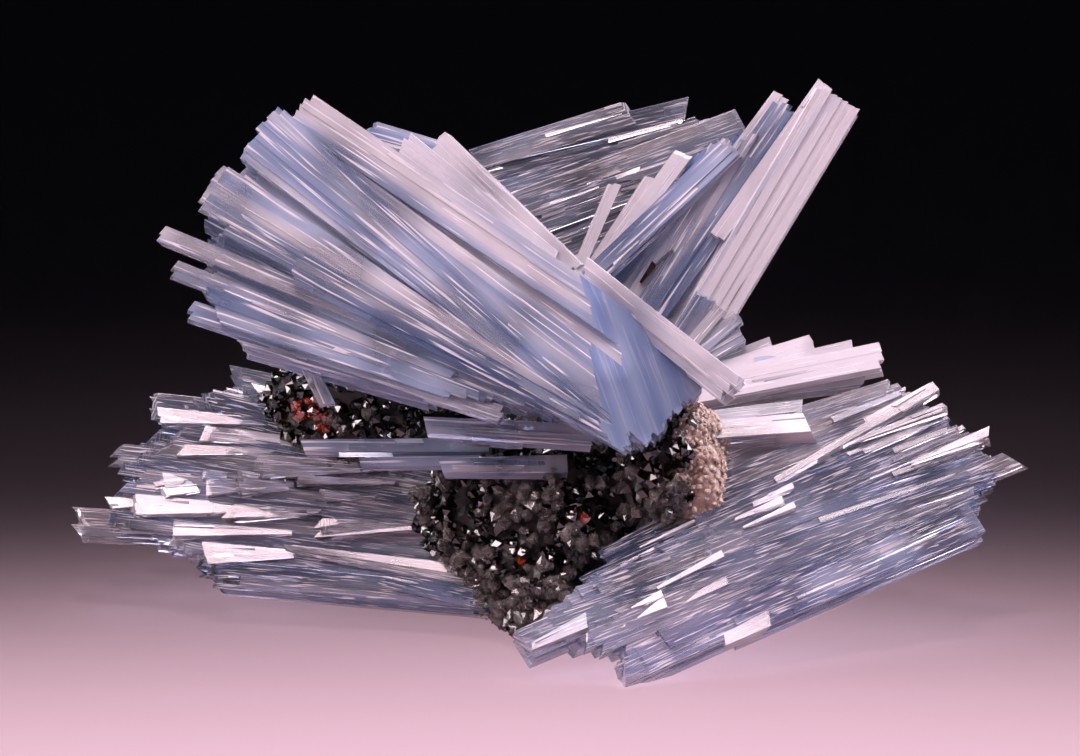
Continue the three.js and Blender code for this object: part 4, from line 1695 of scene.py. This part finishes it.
@dataclass
class Studio:
    """The floor, the lights and the camera.

    Attributes:
        floor_size: Side of the floor, in metres.
        floor_colour: Colour of the floor.
        aim: What the lights point at, in metres.
        boxes: The softboxes, which light the specimen and not the floor.
        floor_lamps: The lamps that light the floor, one for its fading pool of light, one for faint shadows.
        camera_distance: From the specimen to the camera, in metres.
        sensor_mm: Width of the camera's sensor.
        centre: The layout's point in the middle of the picture.
        floor_roughness: Roughness of the floor.
        pool_at: Where the floor lamps hang, in metres.
        pool_deg: Angle of their cone.
        pool_blend: Share of the cone that fades towards its edge.
        pool_colour: Colour of their light.
        room_colour: Colour of the dark room.
    """

    floor_size: float = 4.0
    floor_colour: str = "#F3E3EA"
    aim: tuple[float, float, float] = (0.0, 0.0, 0.026)
    boxes: tuple[Softbox, ...] = (
        Softbox("top", (0.0, 0.04, 0.64), (0.60, 0.46), 5.7, "#FFE8EF"),
        Softbox("key", (-0.12, -0.20, 0.58), (0.24, 0.18), 1.7, "#FFE0E9"),
        Softbox("left", (-0.62, -0.10, 0.24), (0.30, 0.56), 5.3, "#FFEFF4"),
        Softbox("right", (0.60, 0.05, 0.30), (0.30, 0.56), 5.3, "#F6F0FF"),
        Softbox("rim", (0.05, 0.50, 0.42), (0.7, 0.28), 5.3, "#FFF4F6"),
    )
    floor_lamps: tuple[FloorLamp, ...] = (
        FloorLamp("pool", 160.0, 0.02, False), FloorLamp("contact", 20.0, 0.12, True))
    camera_distance: float = 1.0
    sensor_mm: float = 36.0
    centre: tuple[float, float, float] = (-0.6, 30.6, 5.0)
    floor_roughness: float = 0.9
    pool_at: tuple[float, float, float] = (0.0, -0.465, 2.0)
    pool_deg: float = 28.45
    pool_blend: float = 0.35
    pool_colour: str = "#FFDDEA"
    room_colour: str = "#050507"

    def build_floor(self) -> bpy.types.Object:
        """Makes the plain pale floor."""
        half = self.floor_size / 2
        mesh = bpy.data.meshes.new("floor")
        mesh.from_pydata(
            [(-half, -half, 0), (half, -half, 0), (half, half, 0), (-half, half, 0)], [], [(0, 1, 2, 3)])
        material, tree, out = new_material("paper_floor")
        paper = {"Base Color": linear(self.floor_colour), "Roughness": self.floor_roughness}
        surface = add_node(tree, "BsdfPrincipled", paper).outputs["BSDF"]
        tree.links.new(surface, out.inputs["Surface"])
        mesh.materials.append(material)
        floor = bpy.data.objects.new("floor", mesh)
        bpy.context.scene.collection.objects.link(floor)
        return floor

    def build_lights(self, floor: bpy.types.Object) -> None:
        """Makes the softboxes, and a soft pool of light that falls on the floor alone.

        Args:
            floor: The floor.
        """
        collection = bpy.context.scene.collection
        without_floor = bpy.data.collections.new("without_floor")
        without_floor.objects.link(floor)
        without_floor.collection_objects[0].light_linking.link_state = "EXCLUDE"
        floor_only = bpy.data.collections.new("floor_only")
        floor_only.objects.link(floor)
        for box in self.boxes:
            light = bpy.data.lights.new(box.name, "AREA")
            light.shape = "RECTANGLE"
            light.size, light.size_y = box.size
            light.energy = box.watts
            light.color = linear(box.colour)[:3]
            lamp = bpy.data.objects.new(box.name, light)
            lamp.location = box.at
            lamp.rotation_euler = (Vector(self.aim) - Vector(box.at)).to_track_quat("-Z", "Y").to_euler()
            lamp.light_linking.receiver_collection = without_floor
            collection.objects.link(lamp)
        for floor_lamp in self.floor_lamps:
            pool = bpy.data.lights.new(floor_lamp.name, "SPOT")
            pool.energy = floor_lamp.watts
            pool.spot_size = math.radians(self.pool_deg)
            pool.spot_blend = self.pool_blend
            pool.shadow_soft_size = floor_lamp.radius
            pool.use_shadow = floor_lamp.shadows
            pool.color = linear(self.pool_colour)[:3]
            lamp = bpy.data.objects.new(floor_lamp.name, pool)
            lamp.location = self.pool_at
            lamp.light_linking.receiver_collection = floor_only
            collection.objects.link(lamp)

    def build_world(self) -> None:
        """Makes the dark room."""
        world = bpy.data.worlds.new("dark_room")
        world.use_nodes = True
        world.node_tree.nodes["Background"].inputs["Color"].default_value = linear(self.room_colour)
        bpy.context.scene.world = world

    def build_camera(self) -> None:
        """Makes the camera, level with the photo's view and far enough to see little perspective."""
        camera = bpy.data.cameras.new("camera")
        camera.sensor_width = self.sensor_mm
        camera.lens = self.sensor_mm * self.camera_distance / (IMAGE_WIDTH * PIXEL_MM * MM)
        eye = bpy.data.objects.new("camera", camera)
        back = (LAYOUT.place(0, 0, 1) - LAYOUT.place(0, 0, 0)).normalized()
        target = LAYOUT.place(*self.centre)
        eye.location = target + back * self.camera_distance
        eye.rotation_euler = (-back).to_track_quat("-Z", "Y").to_euler()
        bpy.context.scene.collection.objects.link(eye)
        bpy.context.scene.camera = eye

    def build(self) -> None:
        """Makes the whole studio."""
        self.build_camera()
        self.build_lights(self.build_floor())
        self.build_world()
        scene = bpy.context.scene
        scene.view_settings.view_transform = "Standard"
        # Few bounces and no light tree keep the render of so many see-through faces short.
        scene.cycles.use_light_tree = False
        scene.cycles.max_bounces = 5
        scene.cycles.transmission_bounces = 5
        scene.cycles.transparent_max_bounces = 1
        scene.cycles.glossy_bounces = 2
        scene.cycles.diffuse_bounces = 1


def main() -> None:
    """Builds the specimen and the studio."""
    logging.basicConfig(level=logging.INFO, format="%(message)s")
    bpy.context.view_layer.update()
    Studio().build()
    barite = {finish: finish.material() for finish in (MILKY_BARITE, CLEAR_BARITE)}
    for fan in FANS:
        fan.build(barite[fan.finish])
    for rod in RODS:
        rod.build(barite[MILKY_BARITE])
    RockMatrix().build({grain: finish.material() for grain, finish in GRAIN_FINISHES.items()})


if __name__ == "__main__":
    main()
